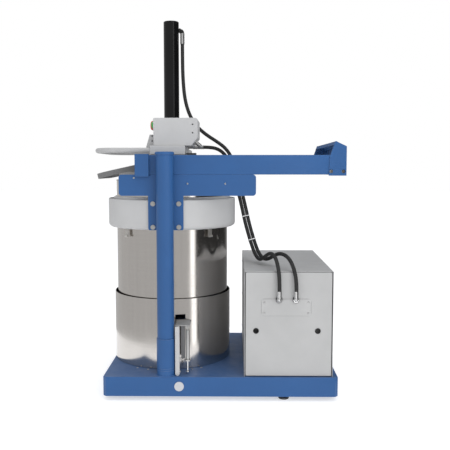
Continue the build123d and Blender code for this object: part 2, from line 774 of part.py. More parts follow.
with BuildPart() as head_screws:
    for screw_z in (1188.0, 1148.0):
        rod_y(123.0, screw_z, 4.0, -box_front - 1.8, -box_front)
    for screw_z in (1135.0, 1111.0):
        rod_y(-78.0, screw_z, 4.0, -wedge_half - 2.5, -wedge_half)
    for x in (-68.0, 74.0):
        for y in (-shroud_half + 14, -60.0, 60.0, shroud_half - 14):
            if y > plinth_rear:
                post(x, y, 4.5, shroud_rear_top, shroud_rear_top + 2.2)
save(head_screws, "head_screws")

with BuildPart() as handle:
    with BuildLine(flat(grip_height)) as grip_path:
        reach = -grip_reach + grip_radius
        FilletPolyline((-shroud_left, -grip_half), (reach, -grip_half), (reach, grip_half),
                       (-shroud_left, grip_half), radius=grip_corner)
    with BuildSketch(Plane(grip_path.line @ 0, z_dir=grip_path.line % 0)):
        Circle(grip_radius)
        Circle(grip_radius - 2.5, mode=Mode.SUBTRACT)
    sweep(path=grip_path.line)
save(handle, "handle")

bow_origin = (axis_x + bow_pivot[0], 0, level(bow_pivot[1]))
bow_along = (-cos(radians(bow_tilt)), 0, -sin(radians(bow_tilt)))
bow_plane = Plane(bow_origin, x_dir=bow_along, z_dir=(-sin(radians(bow_tilt)), 0, cos(radians(bow_tilt))))
bow_length = (bow_reach + bow_pivot[0]) / cos(radians(bow_tilt))
with BuildPart() as bow:
    with BuildSketch(bow_plane.offset(-bow_depth / 2)) as strip:
        with Locations(((bow_length - 16) / 2, 0)):
            Rectangle(bow_length + 16, 2 * bow_half)
        far = strip.vertices().sort_by(Axis.X)[-2:]
        fillet(far, bow_corner)
    extrude(amount=bow_depth)
    with BuildSketch(bow_plane.offset(-bow_depth / 2 - 1)) as inside:
        with Locations(((bow_length - 16 - bow_strip - 10) / 2, 0)):
            Rectangle(bow_length + 16 - bow_strip + 10, 2 * (bow_half - bow_strip))
        far = inside.vertices().sort_by(Axis.X)[-2:]
        fillet(far, bow_corner - bow_strip)
    extrude(amount=bow_depth + 2, mode=Mode.SUBTRACT)
    rod_y(bow_pivot[0], bow_pivot[1], 6.0 + run_clearance, -300, 300, Mode.SUBTRACT)
save(bow, "bow")

# ---------------------------------------------------------------- cylinder, rod and press plate

gland_high = cylinder_foot + 25.0
with BuildPart() as cylinder_tube:
    with BuildSketch(flat(cylinder_foot)):
        Circle(cylinder_radius)
        Circle(cylinder_bore, mode=Mode.SUBTRACT)
    extrude(amount=cylinder_top - cylinder_foot)
    chamfer(cylinder_tube.edges().filter_by(GeomType.CIRCLE).group_by(Axis.Z)[-1].sort_by(SortBy.RADIUS)[-1], 1.0)
save(cylinder_tube, "cylinder_tube")

with BuildPart() as cylinder_ends:
    post(0, 0, 52.0, deck_height + deck_wall, cylinder_foot)
    post(0, 0, cylinder_bore - run_clearance, cylinder_foot, gland_high)
    post(0, 0, 29.0, deck_height - 6, deck_height + deck_wall)
    post(0, 0, rod_radius + run_clearance, deck_height - 10, gland_high + 5, Mode.SUBTRACT)
    post(0, 0, cylinder_bore - run_clearance, cylinder_top - 20, cylinder_top)
    post(0, 0, cylinder_radius, cylinder_top, cylinder_top + 11)
    fillet(cylinder_ends.faces().sort_by(Axis.Z)[-1].edges(), 3.0)
save(cylinder_ends, "cylinder_ends")

with BuildPart() as ram_rod:
    post(0, 0, rod_radius, rod_low, rod_high)
    post(0, 0, cylinder_bore - run_clearance, rod_high, rod_high + piston_height)
save(ram_rod, "ram_rod")

with BuildPart() as press_plate:
    post(0, 0, press_radius, press_low, press_low + press_wall)
    fillet(press_plate.faces().sort_by(Axis.Z)[0].edges(), 5.0)
    with BuildSketch(flat(press_low + press_wall)):
        Circle(press_radius)
        Circle(press_radius - 8, mode=Mode.SUBTRACT)
    extrude(amount=press_rim)
    with BuildSketch(flat(press_low + press_wall)):
        with PolarLocations(0, 6):
            with Locations((press_radius / 2, 0)):
                Rectangle(press_radius - 4, 8)
    extrude(amount=press_rim)
    post(0, 0, press_hub_radius, press_low + press_wall, press_low + press_wall + press_hub_height)
    post(0, 0, rod_radius + run_clearance, rod_low, press_low + press_wall + press_hub_height + 1, Mode.SUBTRACT)
save(press_plate, "press_plate")

# ---------------------------------------------------------------- hydraulic fittings on the head

upper_port = cylinder_top - 34.0
with BuildPart() as port_fittings:
    rod_x(0, upper_port, 10.0, cylinder_radius - 1, upper_hose_x + 9)
    post(0, 0, cylinder_radius, upper_port - 15, upper_port + 15, Mode.SUBTRACT)
    post(upper_hose_x, 0, 9.5, upper_port - 14, upper_port + 9)
    post(upper_hose_x, 0, 11.5, upper_ferrule_end, upper_port - 14)
    with BuildSketch(crosswise(cylinder_radius + 12)):
        with Locations((0, lower_hose_height)):
            RegularPolygon(11.0, 6)
    extrude(amount=14)
    rod_x(0, lower_hose_height, 8.5, cylinder_radius - 1, cylinder_radius + 72)
    post(0, 0, cylinder_radius, lower_hose_height - 15, lower_hose_height + 15, Mode.SUBTRACT)
    rod_x(0, lower_hose_height, 10.5, cylinder_radius + 72, lower_ferrule_end)
save(port_fittings, "port_fittings")

# ---------------------------------------------------------------- power unit

unit_low = 0.0
with BuildPart() as power_unit_case:
    slab(unit_left, unit_right, -unit_front, unit_back, unit_low, unit_height)
    fillet(power_unit_case.edges().filter_by(Axis.Y).group_by(Axis.Z)[-1], 2.5)
    slab(unit_left + unit_wall, unit_right - unit_wall, -unit_front - 1, unit_back - unit_wall,
         unit_low - 1, unit_height - unit_wall, Mode.SUBTRACT)
save(power_unit_case, "power_unit_case")

panel_left = unit_left + unit_reveal + unit_wall
panel_right = unit_right - unit_reveal - unit_wall
panel_back = -unit_front + 3.0
panel_wall = 2.0
vent_x = (426.0, 715.0)
vent_height = 219.0
hatch_inset = 13.0
hatch_screws = [(x, z) for x in (hatch_left + hatch_inset, hatch_right - hatch_inset)
                for z in (hatch_low + hatch_inset, hatch_high - hatch_inset - 2)]

with BuildPart() as power_unit_front:
    with BuildSketch(upright(panel_back)):
        with Locations((unit_mid, unit_height / 2)):
            RectangleRounded(panel_right - panel_left, unit_height - 2 * unit_reveal, 3)
        with Locations(*[(x, hose_port_height) for x in hose_x]):
            Circle(17, mode=Mode.SUBTRACT)
        with Locations(*[(x, vent_height) for x in vent_x]):
            Circle(13, mode=Mode.SUBTRACT)
        with Locations(*hatch_screws):
            Circle(2.2, mode=Mode.SUBTRACT)
    extrude(amount=panel_wall)
save(power_unit_front, "power_unit_front")

with BuildPart() as connection_plate:
    with BuildSketch(upright(panel_back - panel_wall)):
        with Locations(((hatch_left + hatch_right) / 2, (hatch_low + hatch_high) / 2)):
            RectangleRounded(hatch_right - hatch_left, hatch_high - hatch_low, 8)
        with Locations(*[(x, hose_port_height) for x in hose_x]):
            Circle(15.5, mode=Mode.SUBTRACT)
        with Locations(*hatch_screws):
            Circle(2.2, mode=Mode.SUBTRACT)
    extrude(amount=1.5)
save(connection_plate, "connection_plate")

with BuildPart() as panel_plugs:
    for x in vent_x:
        rod_y(x, vent_height, 13.5, panel_back - panel_wall - 2.5, panel_back - panel_wall)
        rod_y(x, vent_height, 12.8, panel_back - panel_wall, panel_back + 6)
    fillet(panel_plugs.faces().filter_by(Axis.Y).group_by(Axis.Y)[0].edges(), 1.2)
save(panel_plugs, "panel_plugs")

tray_screw_circle = 316.0
with BuildPart() as frame_screws:
    for side in (-1, 1):
        for x, z in plate_screws:
            rod_y(x, z, screw_radius, *span(side, plate_face - plate_wall, plate_face))
            rod_y(x, z, 4.5, *span(side, plate_face, plate_face + 2.2))
        for turn in (-28.5, -17.5, 22.0, 31.0):
            x = tray_screw_circle * sin(radians(turn))
            y = side * tray_screw_circle * cos(radians(turn))
            post(x, y, 5.0, 0, 2.5)
    for x, z in hatch_screws:
        rod_y(x, z, 4.5, panel_back - panel_wall - 3.5, panel_back - panel_wall - 1.5)
        rod_y(x, z, 2.1, panel_back - panel_wall - 1.5, panel_back + 5)
    for y in (-unit_front + 20, unit_back - 20):
        for z in (60.0, 250.0, 440.0):
            rod_x(y, z, 4.5, unit_left - 2.2, unit_left)
            rod_x(y, z, 4.5, unit_right, unit_right + 2.2)
save(frame_screws, "frame_screws")

tank_low, tank_high, tank_wall = 6.0, 240.0, 3.0
with BuildPart() as oil_tank:
    slab(405.0, 752.0, -340.0, 370.0, tank_low, tank_high)
    fillet(oil_tank.edges().filter_by(Axis.Z), 12.0)
    slab(405.0 + tank_wall, 752.0 - tank_wall, -340.0 + tank_wall, 370.0 - tank_wall,
         tank_low + tank_wall, tank_high + 1, Mode.SUBTRACT)
    for x in (420.0, 737.0):
        slab(x - 15, x + 15, -325.0, 355.0, 0, tank_low)
save(oil_tank, "oil_tank")

with BuildPart() as tank_lid:
    slab(397.0, 760.0, -348.0, 378.0, tank_high, tank_high + 5)
    post(440.0, 340.0, 26.0, tank_high + 5, tank_high + 34)
    fillet(tank_lid.faces().sort_by(Axis.Z)[-1].edges(), 3.0)
save(tank_lid, "tank_lid")

motor_x, motor_z, motor_radius = unit_mid, 345.0, 82.0
with BuildPart() as pump_motor:
    rod_y(motor_x, motor_z, motor_radius - 6, 20.0, 250.0)
    with BuildSketch(upright(240.0)):
        with Locations((motor_x, motor_z)):
            with PolarLocations((motor_radius - 6) - 1, 20):
                Rectangle(14, 4)
    extrude(amount=200.0)
    rod_y(motor_x, motor_z, motor_radius, 250.0, 300.0)
    for x in (-55.0, 55.0):
        slab(motor_x + x - 12, motor_x + x + 12, 40.0, 230.0, tank_high + 5, motor_z - 52)
    slab(motor_x - 40, motor_x + 40, 90.0, 180.0, motor_z + motor_radius - 8, motor_z + motor_radius + 45)
save(pump_motor, "pump_motor")

with BuildPart() as hydraulic_pump:
    rod_y(motor_x, motor_z, 70.0, 5.0, 20.0)
    rod_y(motor_x, motor_z, 55.0, -60.0, 5.0)
    rod_y(motor_x, motor_z, 40.0, -130.0, -60.0)
    chamfer(hydraulic_pump.faces().sort_by(Axis.Y)[0].edges(), 5.0)
save(hydraulic_pump, "hydraulic_pump")

with BuildPart() as valve_block:
    slab(500.0, 645.0, -330.0, -262.0, 300.0, 400.0)
    slab(520.0, 625.0, -322.0, -270.0, tank_high + 5, 300.0)
    for x in hose_x:
        rod_y(x, hose_port_height, 11.0, -350.0, -330.0)
        rod_y(x, hose_port_height, 9.0, panel_back + 6, -350.0)
    rod_x(-296.0, 350.0, 22.0, 645.0, 700.0)
save(valve_block, "valve_block")

with BuildPart() as unit_elbows:
    for x in hose_x:
        rod_y(x, hose_port_height, 9.0, -hose_drop, panel_back + 6)
        with Locations((axis_x + x, -hose_drop, level(hose_port_height))):
            Sphere(9.0)
        post(x, -hose_drop, 9.0, hose_port_height, hose_port_height + 12)
        post(x, -hose_drop, 11.5, hose_port_height + 12, ferrule_top)
        with BuildSketch(upright(-unit_front - 6)):
            with Locations((x, hose_port_height)):
                RegularPolygon(12.5, 6)
        extrude(amount=9)
save(unit_elbows, "unit_elbows")

# ---------------------------------------------------------------- hoses

# Routes in chamber coordinates: x from the chamber's axis, y, and height above the tray's top.
upper_route = [
    (57.0, 0.0, 1612.0), (57.0, 0.0, 1530.0), (59.0, 1.0, 1430.0), (68.0, 2.0, 1330.0),
    (92.0, 1.0, 1250.0), (132.0, -4.0, 1190.0), (182.0, -9.0, 1148.0), (232.0, -14.0, 1117.0),
    (279.0, -19.0, 1082.0), (311.0, -23.0, 1034.0), (334.0, -26.0, 972.0), (352.0, -28.0, 902.0),
    (370.0, -31.0, 832.0), (385.5, -41.0, 765.0), (400.0, -53.0, 700.0), (416.5, -67.0, 640.0),
    (434.0, -84.0, 584.0), (453.0, -113.0, 540.0), (475.0, -158.0, 522.0), (498.0, -205.0, 533.0),
    (519.0, -250.0, 555.0), (542.0, -299.0, 571.0), (566.0, -348.0, 569.0), (587.0, -391.0, 548.0),
    (602.0, -420.0, 507.0), (611.0, -430.0, 456.0), (611.0, -430.0, 409.0),
]
lower_route = [
    (165.0, 0.0, 1087.0), (205.0, 0.0, 1087.0), (246.0, -6.0, 1075.0), (279.0, -13.0, 1046.0),
    (301.0, -19.0, 1000.0), (324.0, -25.0, 922.0), (349.0, -29.0, 840.0), (366.0, -40.0, 766.0),
    (380.0, -53.0, 700.0), (396.5, -67.0, 640.0), (414.0, -85.0, 584.0), (431.0, -116.0, 540.0),
    (448.0, -163.0, 522.0), (465.0, -212.0, 534.0), (480.0, -257.0, 556.0), (495.0, -304.0, 572.0),
    (509.0, -353.0, 572.0), (521.0, -396.0, 550.0), (529.0, -423.0, 507.0), (533.0, -430.0, 456.0),
    (533.0, -430.0, 409.0),
]


def make_hose(route, name):
    """A hose: straight runs joined by arcs, each as large as its two runs allow."""
    points = [Vector(axis_x + x, y, level(z)) for x, y, z in route]
    runs = [after - before for before, after in zip(points, points[1:])]
    radii = []
    for run, following in zip(runs, runs[1:]):
        half_turn = radians(run.get_angle(following)) / 2
        radii.append(0.45 * min(run.length, following.length) / tan(half_turn))
    print(name, "radii", [round(radius) for radius in radii], "runs", [round(run.length) for run in runs])
    with BuildPart() as hose:
        with BuildLine() as path:
            FilletPolyline(*points, radius=radii)
        with BuildSketch(Plane(path.line @ 0, z_dir=path.line % 0)):
            Circle(hose_radius)
        sweep(path=path.line)
    length = path.wires()[0].length
    print(name, "length", round(length), "volume ratio",
          round(hose.part.volume / (pi * hose_radius**2 * length), 4))
    save(hose, name)


make_hose(upper_route, "hose_upper")
make_hose(lower_route, "hose_lower")

# Each tie is a band round both hoses where they run side by side. The indices are those of the run.
tie_runs = ((13, 7), (15, 9))
with BuildPart() as cable_ties:
    for upper_run, lower_run in tie_runs:
        ends = [Vector(*route[run + step]) for step in (0, 1)
                for route, run in ((upper_route, upper_run), (lower_route, lower_run))]
        upper_middle, lower_middle = (ends[0] + ends[2]) * 0.5, (ends[1] + ends[3]) * 0.5
        middle, across = (upper_middle + lower_middle) * 0.5, upper_middle - lower_middle
        along = ends[2] - ends[0] + ends[3] - ends[1]
        print("tie", middle, "hose spacing", round(across.length, 1), "along", along.normalized())
        seat = Plane((axis_x + middle.X, middle.Y, level(middle.Z)), x_dir=across, z_dir=along)
        with BuildSketch(seat.offset(-2)):
            SlotCenterToCenter(across.length, 2 * hose_radius + 4.4)
            SlotCenterToCenter(across.length, 2 * hose_radius + 1.6, mode=Mode.SUBTRACT)
        extrude(amount=4)
save(cable_ties, "cable_ties")
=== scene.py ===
"""Finishes and fine pieces for a hydraulic in-drum compactor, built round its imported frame.

Metres, +Z up, floor at z = 0. The frame is the CAD model, and every piece here lies in its coordinates.
"""

import json
import math

import bmesh
import bpy
import numpy as np
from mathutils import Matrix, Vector


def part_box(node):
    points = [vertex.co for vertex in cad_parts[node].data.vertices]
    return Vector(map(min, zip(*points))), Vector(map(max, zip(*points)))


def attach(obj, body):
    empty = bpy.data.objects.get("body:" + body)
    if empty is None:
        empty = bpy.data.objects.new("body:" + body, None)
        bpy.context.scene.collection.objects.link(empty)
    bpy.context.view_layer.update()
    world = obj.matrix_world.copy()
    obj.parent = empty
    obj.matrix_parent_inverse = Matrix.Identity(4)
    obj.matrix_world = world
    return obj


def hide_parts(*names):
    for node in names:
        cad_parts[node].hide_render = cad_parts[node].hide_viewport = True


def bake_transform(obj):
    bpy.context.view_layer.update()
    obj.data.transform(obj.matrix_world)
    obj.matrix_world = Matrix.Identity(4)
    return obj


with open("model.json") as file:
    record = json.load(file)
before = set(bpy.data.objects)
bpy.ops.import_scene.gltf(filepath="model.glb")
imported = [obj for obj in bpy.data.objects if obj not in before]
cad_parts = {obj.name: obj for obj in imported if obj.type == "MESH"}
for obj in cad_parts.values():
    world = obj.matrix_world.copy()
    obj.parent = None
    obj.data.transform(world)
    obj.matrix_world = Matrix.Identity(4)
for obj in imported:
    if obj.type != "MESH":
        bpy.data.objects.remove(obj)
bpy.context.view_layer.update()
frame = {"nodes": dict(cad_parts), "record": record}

bl_info = {
    "name": "Drum compactor finishes",
    "version": (1, 0, 0),
    "blender": (4, 5, 0),
    "location": "3D View > Sidebar > Compactor",
    "description": "Paints and plating, hoses, fittings, buttons, screws and weld beads of a drum compactor",
    "category": "Object",
}

NODES = frame["nodes"]
SLOT_OF = {part["node"]: part["material_slot"] for part in frame["record"]["subparts"]}


def middle(node):
    """The middle of a node's box."""
    low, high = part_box(node)
    return (low + high) / 2


# Places read from the frame
AXIS_X = middle("chamber_tube").x  # the chamber's vertical axis, at y = 0
TRAY_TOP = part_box("base_tray")[1].z
HOSE_DIAMETER = 0.018

# The hoses' routes: the control points of one smooth line each, from the head's fitting to the power unit's.
UPPER_ROUTE = [
    (-0.18525, 0.000, 1.7270), (-0.18525, 0.000, 1.6450), (-0.18325, 0.001, 1.5450),
    (-0.17425, 0.002, 1.4450), (-0.15025, 0.001, 1.3650), (-0.11025, -0.004, 1.3050),
    (-0.06025, -0.009, 1.2630), (-0.01025, -0.014, 1.2320), (0.03675, -0.019, 1.1970),
    (0.06875, -0.023, 1.1490), (0.09175, -0.026, 1.0870), (0.10975, -0.028, 1.0170),
    (0.12775, -0.031, 0.9470), (0.14325, -0.041, 0.8800), (0.15775, -0.053, 0.8150),
    (0.17425, -0.067, 0.7550), (0.19175, -0.084, 0.6990), (0.21075, -0.113, 0.6550),
    (0.23275, -0.158, 0.6370), (0.25575, -0.205, 0.6480), (0.27675, -0.250, 0.6700),
    (0.29975, -0.299, 0.6860), (0.32375, -0.348, 0.6840), (0.34475, -0.391, 0.6630),
    (0.35975, -0.420, 0.6220), (0.36875, -0.430, 0.5710), (0.36875, -0.430, 0.5240),
]
LOWER_ROUTE = [
    (-0.07725, 0.000, 1.2020), (-0.03725, 0.000, 1.2020), (0.00375, -0.006, 1.1900),
    (0.03675, -0.013, 1.1610), (0.05875, -0.019, 1.1150), (0.08175, -0.025, 1.0370),
    (0.10675, -0.029, 0.9550), (0.12375, -0.040, 0.8810), (0.13775, -0.053, 0.8150),
    (0.15425, -0.067, 0.7550), (0.17175, -0.085, 0.6990), (0.18875, -0.116, 0.6550),
    (0.20575, -0.163, 0.6370), (0.22275, -0.212, 0.6490), (0.23775, -0.257, 0.6710),
    (0.25275, -0.304, 0.6870), (0.26675, -0.353, 0.6870), (0.27875, -0.396, 0.6650),
    (0.28675, -0.423, 0.6220), (0.29075, -0.430, 0.5710), (0.29075, -0.430, 0.5240),
]
UPPER_LENGTH = 1.677
LOWER_LENGTH = 1.127
TIE_HEIGHTS = (0.8478, 0.7275)
TIE_GAP = 0.0003  # between a hose and the tie round it
TIE_STRAP = 0.0014  # thickness of the tie's strap
HOOK_STRIP = 0.0016  # thickness of the bag hooks' strip
HOOK_WIDTH = 0.024


# ------------------------------------------------------------------------------- sizes and colours


class FinishSettings(bpy.types.PropertyGroup):
    """Colours of the finishes, their dust, and their rubbed edges with a painted edge highlight."""

    blue: bpy.props.FloatVectorProperty(
        name="Frame blue", description="Powder coat of the tray, columns and rails",
        default=(0.027, 0.104, 0.285), subtype="COLOR", size=3, min=0, max=1)
    cover: bpy.props.FloatVectorProperty(
        name="Cover grey", description="Powder coat of the collar, the head's covers and the handle",
        default=(0.52, 0.52, 0.52), subtype="COLOR", size=3, min=0, max=1)
    unit: bpy.props.FloatVectorProperty(
        name="Unit grey", description="Powder coat of the power unit",
        default=(0.465, 0.465, 0.462), subtype="COLOR", size=3, min=0, max=1)
    steel: bpy.props.FloatVectorProperty(
        name="Stainless", description="Colour of the chamber's and the jacket's steel",
        default=(0.66, 0.63, 0.60), subtype="COLOR", size=3, min=0, max=1)
    dust: bpy.props.FloatProperty(
        name="Dust", description="How much dust lies on faces that look up", default=0.10,
        min=0, max=1, subtype="FACTOR")
    # Lightens the paint along edges: partly rubbed paint, partly a painted highlight on the edges.
    wear_and_highlight: bpy.props.FloatProperty(
        name="Edge wear", description="How much the paint is rubbed lighter along edges", default=0.22,
        min=0, max=1, subtype="FACTOR")


class FittingSettings(bpy.types.PropertyGroup):
    """Sizes of the fine pieces."""

    hose_diameter: bpy.props.FloatProperty(
        name="Hose diameter", description="Outside diameter of both hoses", default=HOSE_DIAMETER,
        unit="LENGTH", min=0.006, max=0.04)
    tie_width: bpy.props.FloatProperty(
        name="Tie width", description="Width of the cable ties' strap", default=0.0045,
        unit="LENGTH", min=0.001, max=0.012)
    weld: bpy.props.FloatProperty(
        name="Weld bead", description="Radius of the weld beads round the columns' feet", default=0.0035,
        unit="LENGTH", min=0.001, max=0.008)


class StageSettings(bpy.types.PropertyGroup):
    """The studio round the machine."""

    lens: bpy.props.FloatProperty(
        name="Lens", description="Focal length of the camera, in millimetres", default=51.7, min=10, max=200)
    floor_radius: bpy.props.FloatProperty(
        name="Floor radius", description="Radius of the floor disc", default=30.0, unit="LENGTH", min=3)
    front_light: bpy.props.FloatProperty(
        name="Front light", description="Power of the large soft light in front", default=70.0, min=0)
    top_light: bpy.props.FloatProperty(
        name="Top light", description="Power of the soft light overhead", default=40.0, min=0)


# ------------------------------------------------------------------------------- surfaces


def grid_piece(name, grid, across=False, along=False, uv=None):
    """A mesh from a grid of points, rows by columns: each square of neighbours is a face. It is closed
    across the columns or along the rows where asked, and rows that meet in one point are merged."""
    rows, columns = grid.shape[:2]
    row_steps = rows if along else rows - 1
    column_steps = columns if across else columns - 1
    r, c = np.meshgrid(np.arange(row_steps), np.arange(column_steps), indexing="ij")
    r2, c2 = (r + 1) % rows, (c + 1) % columns
    faces = np.stack([r * columns + c, r * columns + c2, r2 * columns + c2, r2 * columns + c], axis=-1)
    mesh = bpy.data.meshes.new(name)
    mesh.from_pydata(grid.reshape(-1, 3).tolist(), [], faces.reshape(-1, 4).tolist())
    if uv is not None:
        layer = mesh.uv_layers.new(name="UVMap")
        u = np.stack([c, c + 1, c + 1, c], axis=-1) / column_steps * uv[0]
        v = np.stack([r, r, r + 1, r + 1], axis=-1) / row_steps * uv[1]
        layer.data.foreach_set("uv", np.stack([u, v], axis=-1).astype(np.float32).ravel())
    work = bmesh.new()
    work.from_mesh(mesh)
    bmesh.ops.remove_doubles(work, verts=work.verts, dist=1e-6)
    bmesh.ops.dissolve_degenerate(work, edges=work.edges, dist=1e-7)
    bmesh.ops.recalc_face_normals(work, faces=work.faces)
    work.to_mesh(mesh)
    work.free()
    piece = bpy.data.objects.new(name, mesh)
    bpy.context.scene.collection.objects.link(piece)
    return piece


def smooth(piece, angle=35.0):
    """Shades a piece smooth except over edges sharper than the angle, in degrees."""
    piece.data.shade_smooth()
    work = bmesh.new()
    work.from_mesh(piece.data)
    for edge in work.edges:
        if len(edge.link_faces) == 2:
            edge.smooth = edge.calc_face_angle(0) < math.radians(angle)
    work.to_mesh(piece.data)
    work.free()
    return piece


def join(name, pieces):
    """One object of several, kept apart inside."""
    work = bmesh.new()
    for piece in pieces:
        work.from_mesh(piece.data)
        old = piece.data
        bpy.data.objects.remove(piece)
        bpy.data.meshes.remove(old)
    mesh = bpy.data.meshes.new(name)
    work.to_mesh(mesh)
    work.free()
    made = bpy.data.objects.new(name, mesh)
    bpy.context.scene.collection.objects.link(made)
    return made


def turned(name, profile, foot, axis, segments=48):
    """A surface of revolution: the profile's points (radius, distance along) carried round an axis that
    starts at foot. point = foot + axis * distance + radius * (cos t * side + sin t * other)."""
    profile = np.array(profile, float)
    axis = np.array(axis, float) / np.linalg.norm(axis)
    guide = np.array((0.0, 0.0, 1.0)) if abs(axis[2]) < 0.9 else np.array((1.0, 0.0, 0.0))
    side = np.cross(axis, guide)
    side /= np.linalg.norm(side)
    other = np.cross(axis, side)
    t = np.linspace(0, 2 * np.pi, segments, endpoint=False)
    ring = np.cos(t)[:, None] * side + np.sin(t)[:, None] * other
    grid = (np.array(foot, float) + profile[:, 1, None, None] * axis + profile[:, 0, None, None] * ring)
    return grid_piece(name, grid, across=True)


def directions(path):
    """Unit directions along a path, by central differences."""
    step = np.gradient(path, axis=0)
    return step / np.linalg.norm(step, axis=1)[:, None]


def tube(name, path, radii, segments=20, uv=None):
    """A tube: a circle of the given radius at each point of the path, square to it. Zero radii close it.
    point = path + radius * (cos t * side + sin t * other)."""
    ahead = directions(path)
    side = np.cross(ahead, np.array((1.0, 0.35, 0.1)))
    side /= np.linalg.norm(side, axis=1)[:, None]
    other = np.cross(ahead, side)
    t = np.linspace(0, 2 * np.pi, segments, endpoint=False)
    ring = np.cos(t)[None, :, None] * side[:, None] + np.sin(t)[None, :, None] * other[:, None]
    radii = np.broadcast_to(np.array(radii, float), (len(path),))
    return grid_piece(name, path[:, None] + radii[:, None, None] * ring, across=True, uv=uv)


def bent_path(points, bend, steps=8):
    """Straight runs with each corner rounded to a quarter-circle-like arc: points of a quadratic curve
    from bend before the corner to bend after it."""
    points = np.array(points, float)
    path = [points[0]]
    s = np.linspace(0, 1, steps)[:, None]
    for before, corner, after in zip(points, points[1:], points[2:]):
        start = corner + (before - corner) / np.linalg.norm(before - corner) * bend
        end = corner + (after - corner) / np.linalg.norm(after - corner) * bend
        path.extend((1 - s) ** 2 * start + 2 * s * (1 - s) * corner + s**2 * end)
    path.append(points[-1])
    return np.array(path)


def smooth_line(route, resolution=10):
    """The points of a NURBS line with the route as its control points."""
    curve = bpy.data.curves.new("route", "CURVE")
    curve.dimensions = "3D"
    spline = curve.splines.new("NURBS")
    spline.points.add(len(route) - 1)
    spline.points.foreach_set("co", np.array([(*p, 1.0) for p in route], np.float32).ravel())
    spline.order_u = 3
    spline.use_endpoint_u = True
    spline.resolution_u = resolution
    carrier = bpy.data.objects.new("route", curve)
    mesh = bpy.data.meshes.new_from_object(carrier)
    line = np.zeros(len(mesh.vertices) * 3, np.float32)
    mesh.vertices.foreach_get("co", line)
    bpy.data.meshes.remove(mesh)
    bpy.data.objects.remove(carrier)
    bpy.data.curves.remove(curve)
    return line.reshape(-1, 3).astype(float)


# ------------------------------------------------------------------------------- shader groups


def group_of(name, inputs, outputs):
    """An empty shader group with named inputs (name, type, default) and outputs (name, type)."""
    group = bpy.data.node_groups.new(name, "ShaderNodeTree")
    for label, kind, default in inputs:
        socket = group.interface.new_socket(label, in_out="INPUT", socket_type=kind)
        socket.default_value = default
    for label, kind in outputs:
        group.interface.new_socket(label, in_out="OUTPUT", socket_type=kind)
    return group, group.nodes.new("NodeGroupInput"), group.nodes.new("NodeGroupOutput")


def node(tree, kind, **values):
    """A new node, with its properties, and its inputs given by name or number."""
    made = tree.nodes.new(kind)
    for key, value in values.items():
        if key == "sockets":
            for socket, setting in value.items():
                made.inputs[socket].default_value = setting
        else:
            setattr(made, key, value)
    return made


def noise(tree, vector, scale, detail=2.0, roughness=0.5):
    """A noise texture's value on a vector socket."""
    made = node(tree, "ShaderNodeTexNoise",
                sockets={"Scale": scale, "Detail": detail, "Roughness": roughness})
    tree.links.new(vector, made.inputs["Vector"])
    return made.outputs["Fac"]


def ranged(tree, value, low, high, to_low, to_high):
    """A value moved from one range to another, clamped."""
    made = node(tree, "ShaderNodeMapRange",
                sockets={"From Min": low, "From Max": high, "To Min": to_low, "To Max": to_high})
    tree.links.new(value, made.inputs["Value"])
    return made.outputs["Result"]


def sums(tree, operation, first, second):
    """A math node between two sockets or numbers."""
    made = node(tree, "ShaderNodeMath", operation=operation)
    for i, value in enumerate((first, second)):
        if isinstance(value, (int, float)):
            made.inputs[i].default_value = value
        else:
            tree.links.new(value, made.inputs[i])
    return made.outputs[0]


def blended(tree, factor, first, second, blend_type="MIX"):
    """A colour mix of two sockets or colours, by a factor socket or number."""
    made = node(tree, "ShaderNodeMix", data_type="RGBA", blend_type=blend_type)
    for i, value in ((0, factor), (6, first), (7, second)):
        if isinstance(value, (int, float, tuple)):
            made.inputs[i].default_value = value
        else:
            tree.links.new(value, made.inputs[i])
    return made.outputs[2]


def edge_wear_highlight_group():
    """Rubbed edges with a painted edge highlight: how far the rounded normal turns away from the face's own,
    broken up by noise.
    """
    group, into, out = group_of(
        "Edge wear",
        [("Width", "NodeSocketFloat", 0.003), ("Amount", "NodeSocketFloat", 0.3)],
        [("Mask", "NodeSocketFloat")])
    links = group.links
    rounded = node(group, "ShaderNodeBevel", samples=3)
    links.new(into.outputs["Width"], rounded.inputs["Radius"])
    own = node(group, "ShaderNodeNewGeometry")
    dot = node(group, "ShaderNodeVectorMath", operation="DOT_PRODUCT")
    links.new(rounded.outputs[0], dot.inputs[0])
    links.new(own.outputs["True Normal"], dot.inputs[1])
    place = node(group, "ShaderNodeTexCoord").outputs["Object"]
    turn = ranged(group, dot.outputs["Value"], 0.99, 0.80, 0.0, 1.0)
    broken = ranged(group, noise(group, place, 60.0, 4.0, 0.65), 0.38, 0.62, 0.25, 1.0)
    links.new(sums(group, "MULTIPLY", sums(group, "MULTIPLY", turn, broken), into.outputs["Amount"]),
              out.inputs["Mask"])
    return group


def dust_group():
    """Dust: lies on faces that look up, in patches."""
    group, into, out = group_of(
        "Dust film", [("Amount", "NodeSocketFloat", 0.1)], [("Mask", "NodeSocketFloat")])
    own = node(group, "ShaderNodeNewGeometry")
    parts = node(group, "ShaderNodeSeparateXYZ")
    group.links.new(own.outputs["Normal"], parts.inputs[0])
    place = node(group, "ShaderNodeTexCoord").outputs["Object"]
    up = ranged(group, parts.outputs["Z"], 0.3, 0.95, 0.0, 1.0)
    patch = ranged(group, noise(group, place, 14.0, 5.0, 0.6), 0.3, 0.7, 0.35, 1.0)
    group.links.new(
        sums(group, "MULTIPLY", sums(group, "MULTIPLY", up, patch), into.outputs["Amount"]),
        out.inputs["Mask"])
    return group


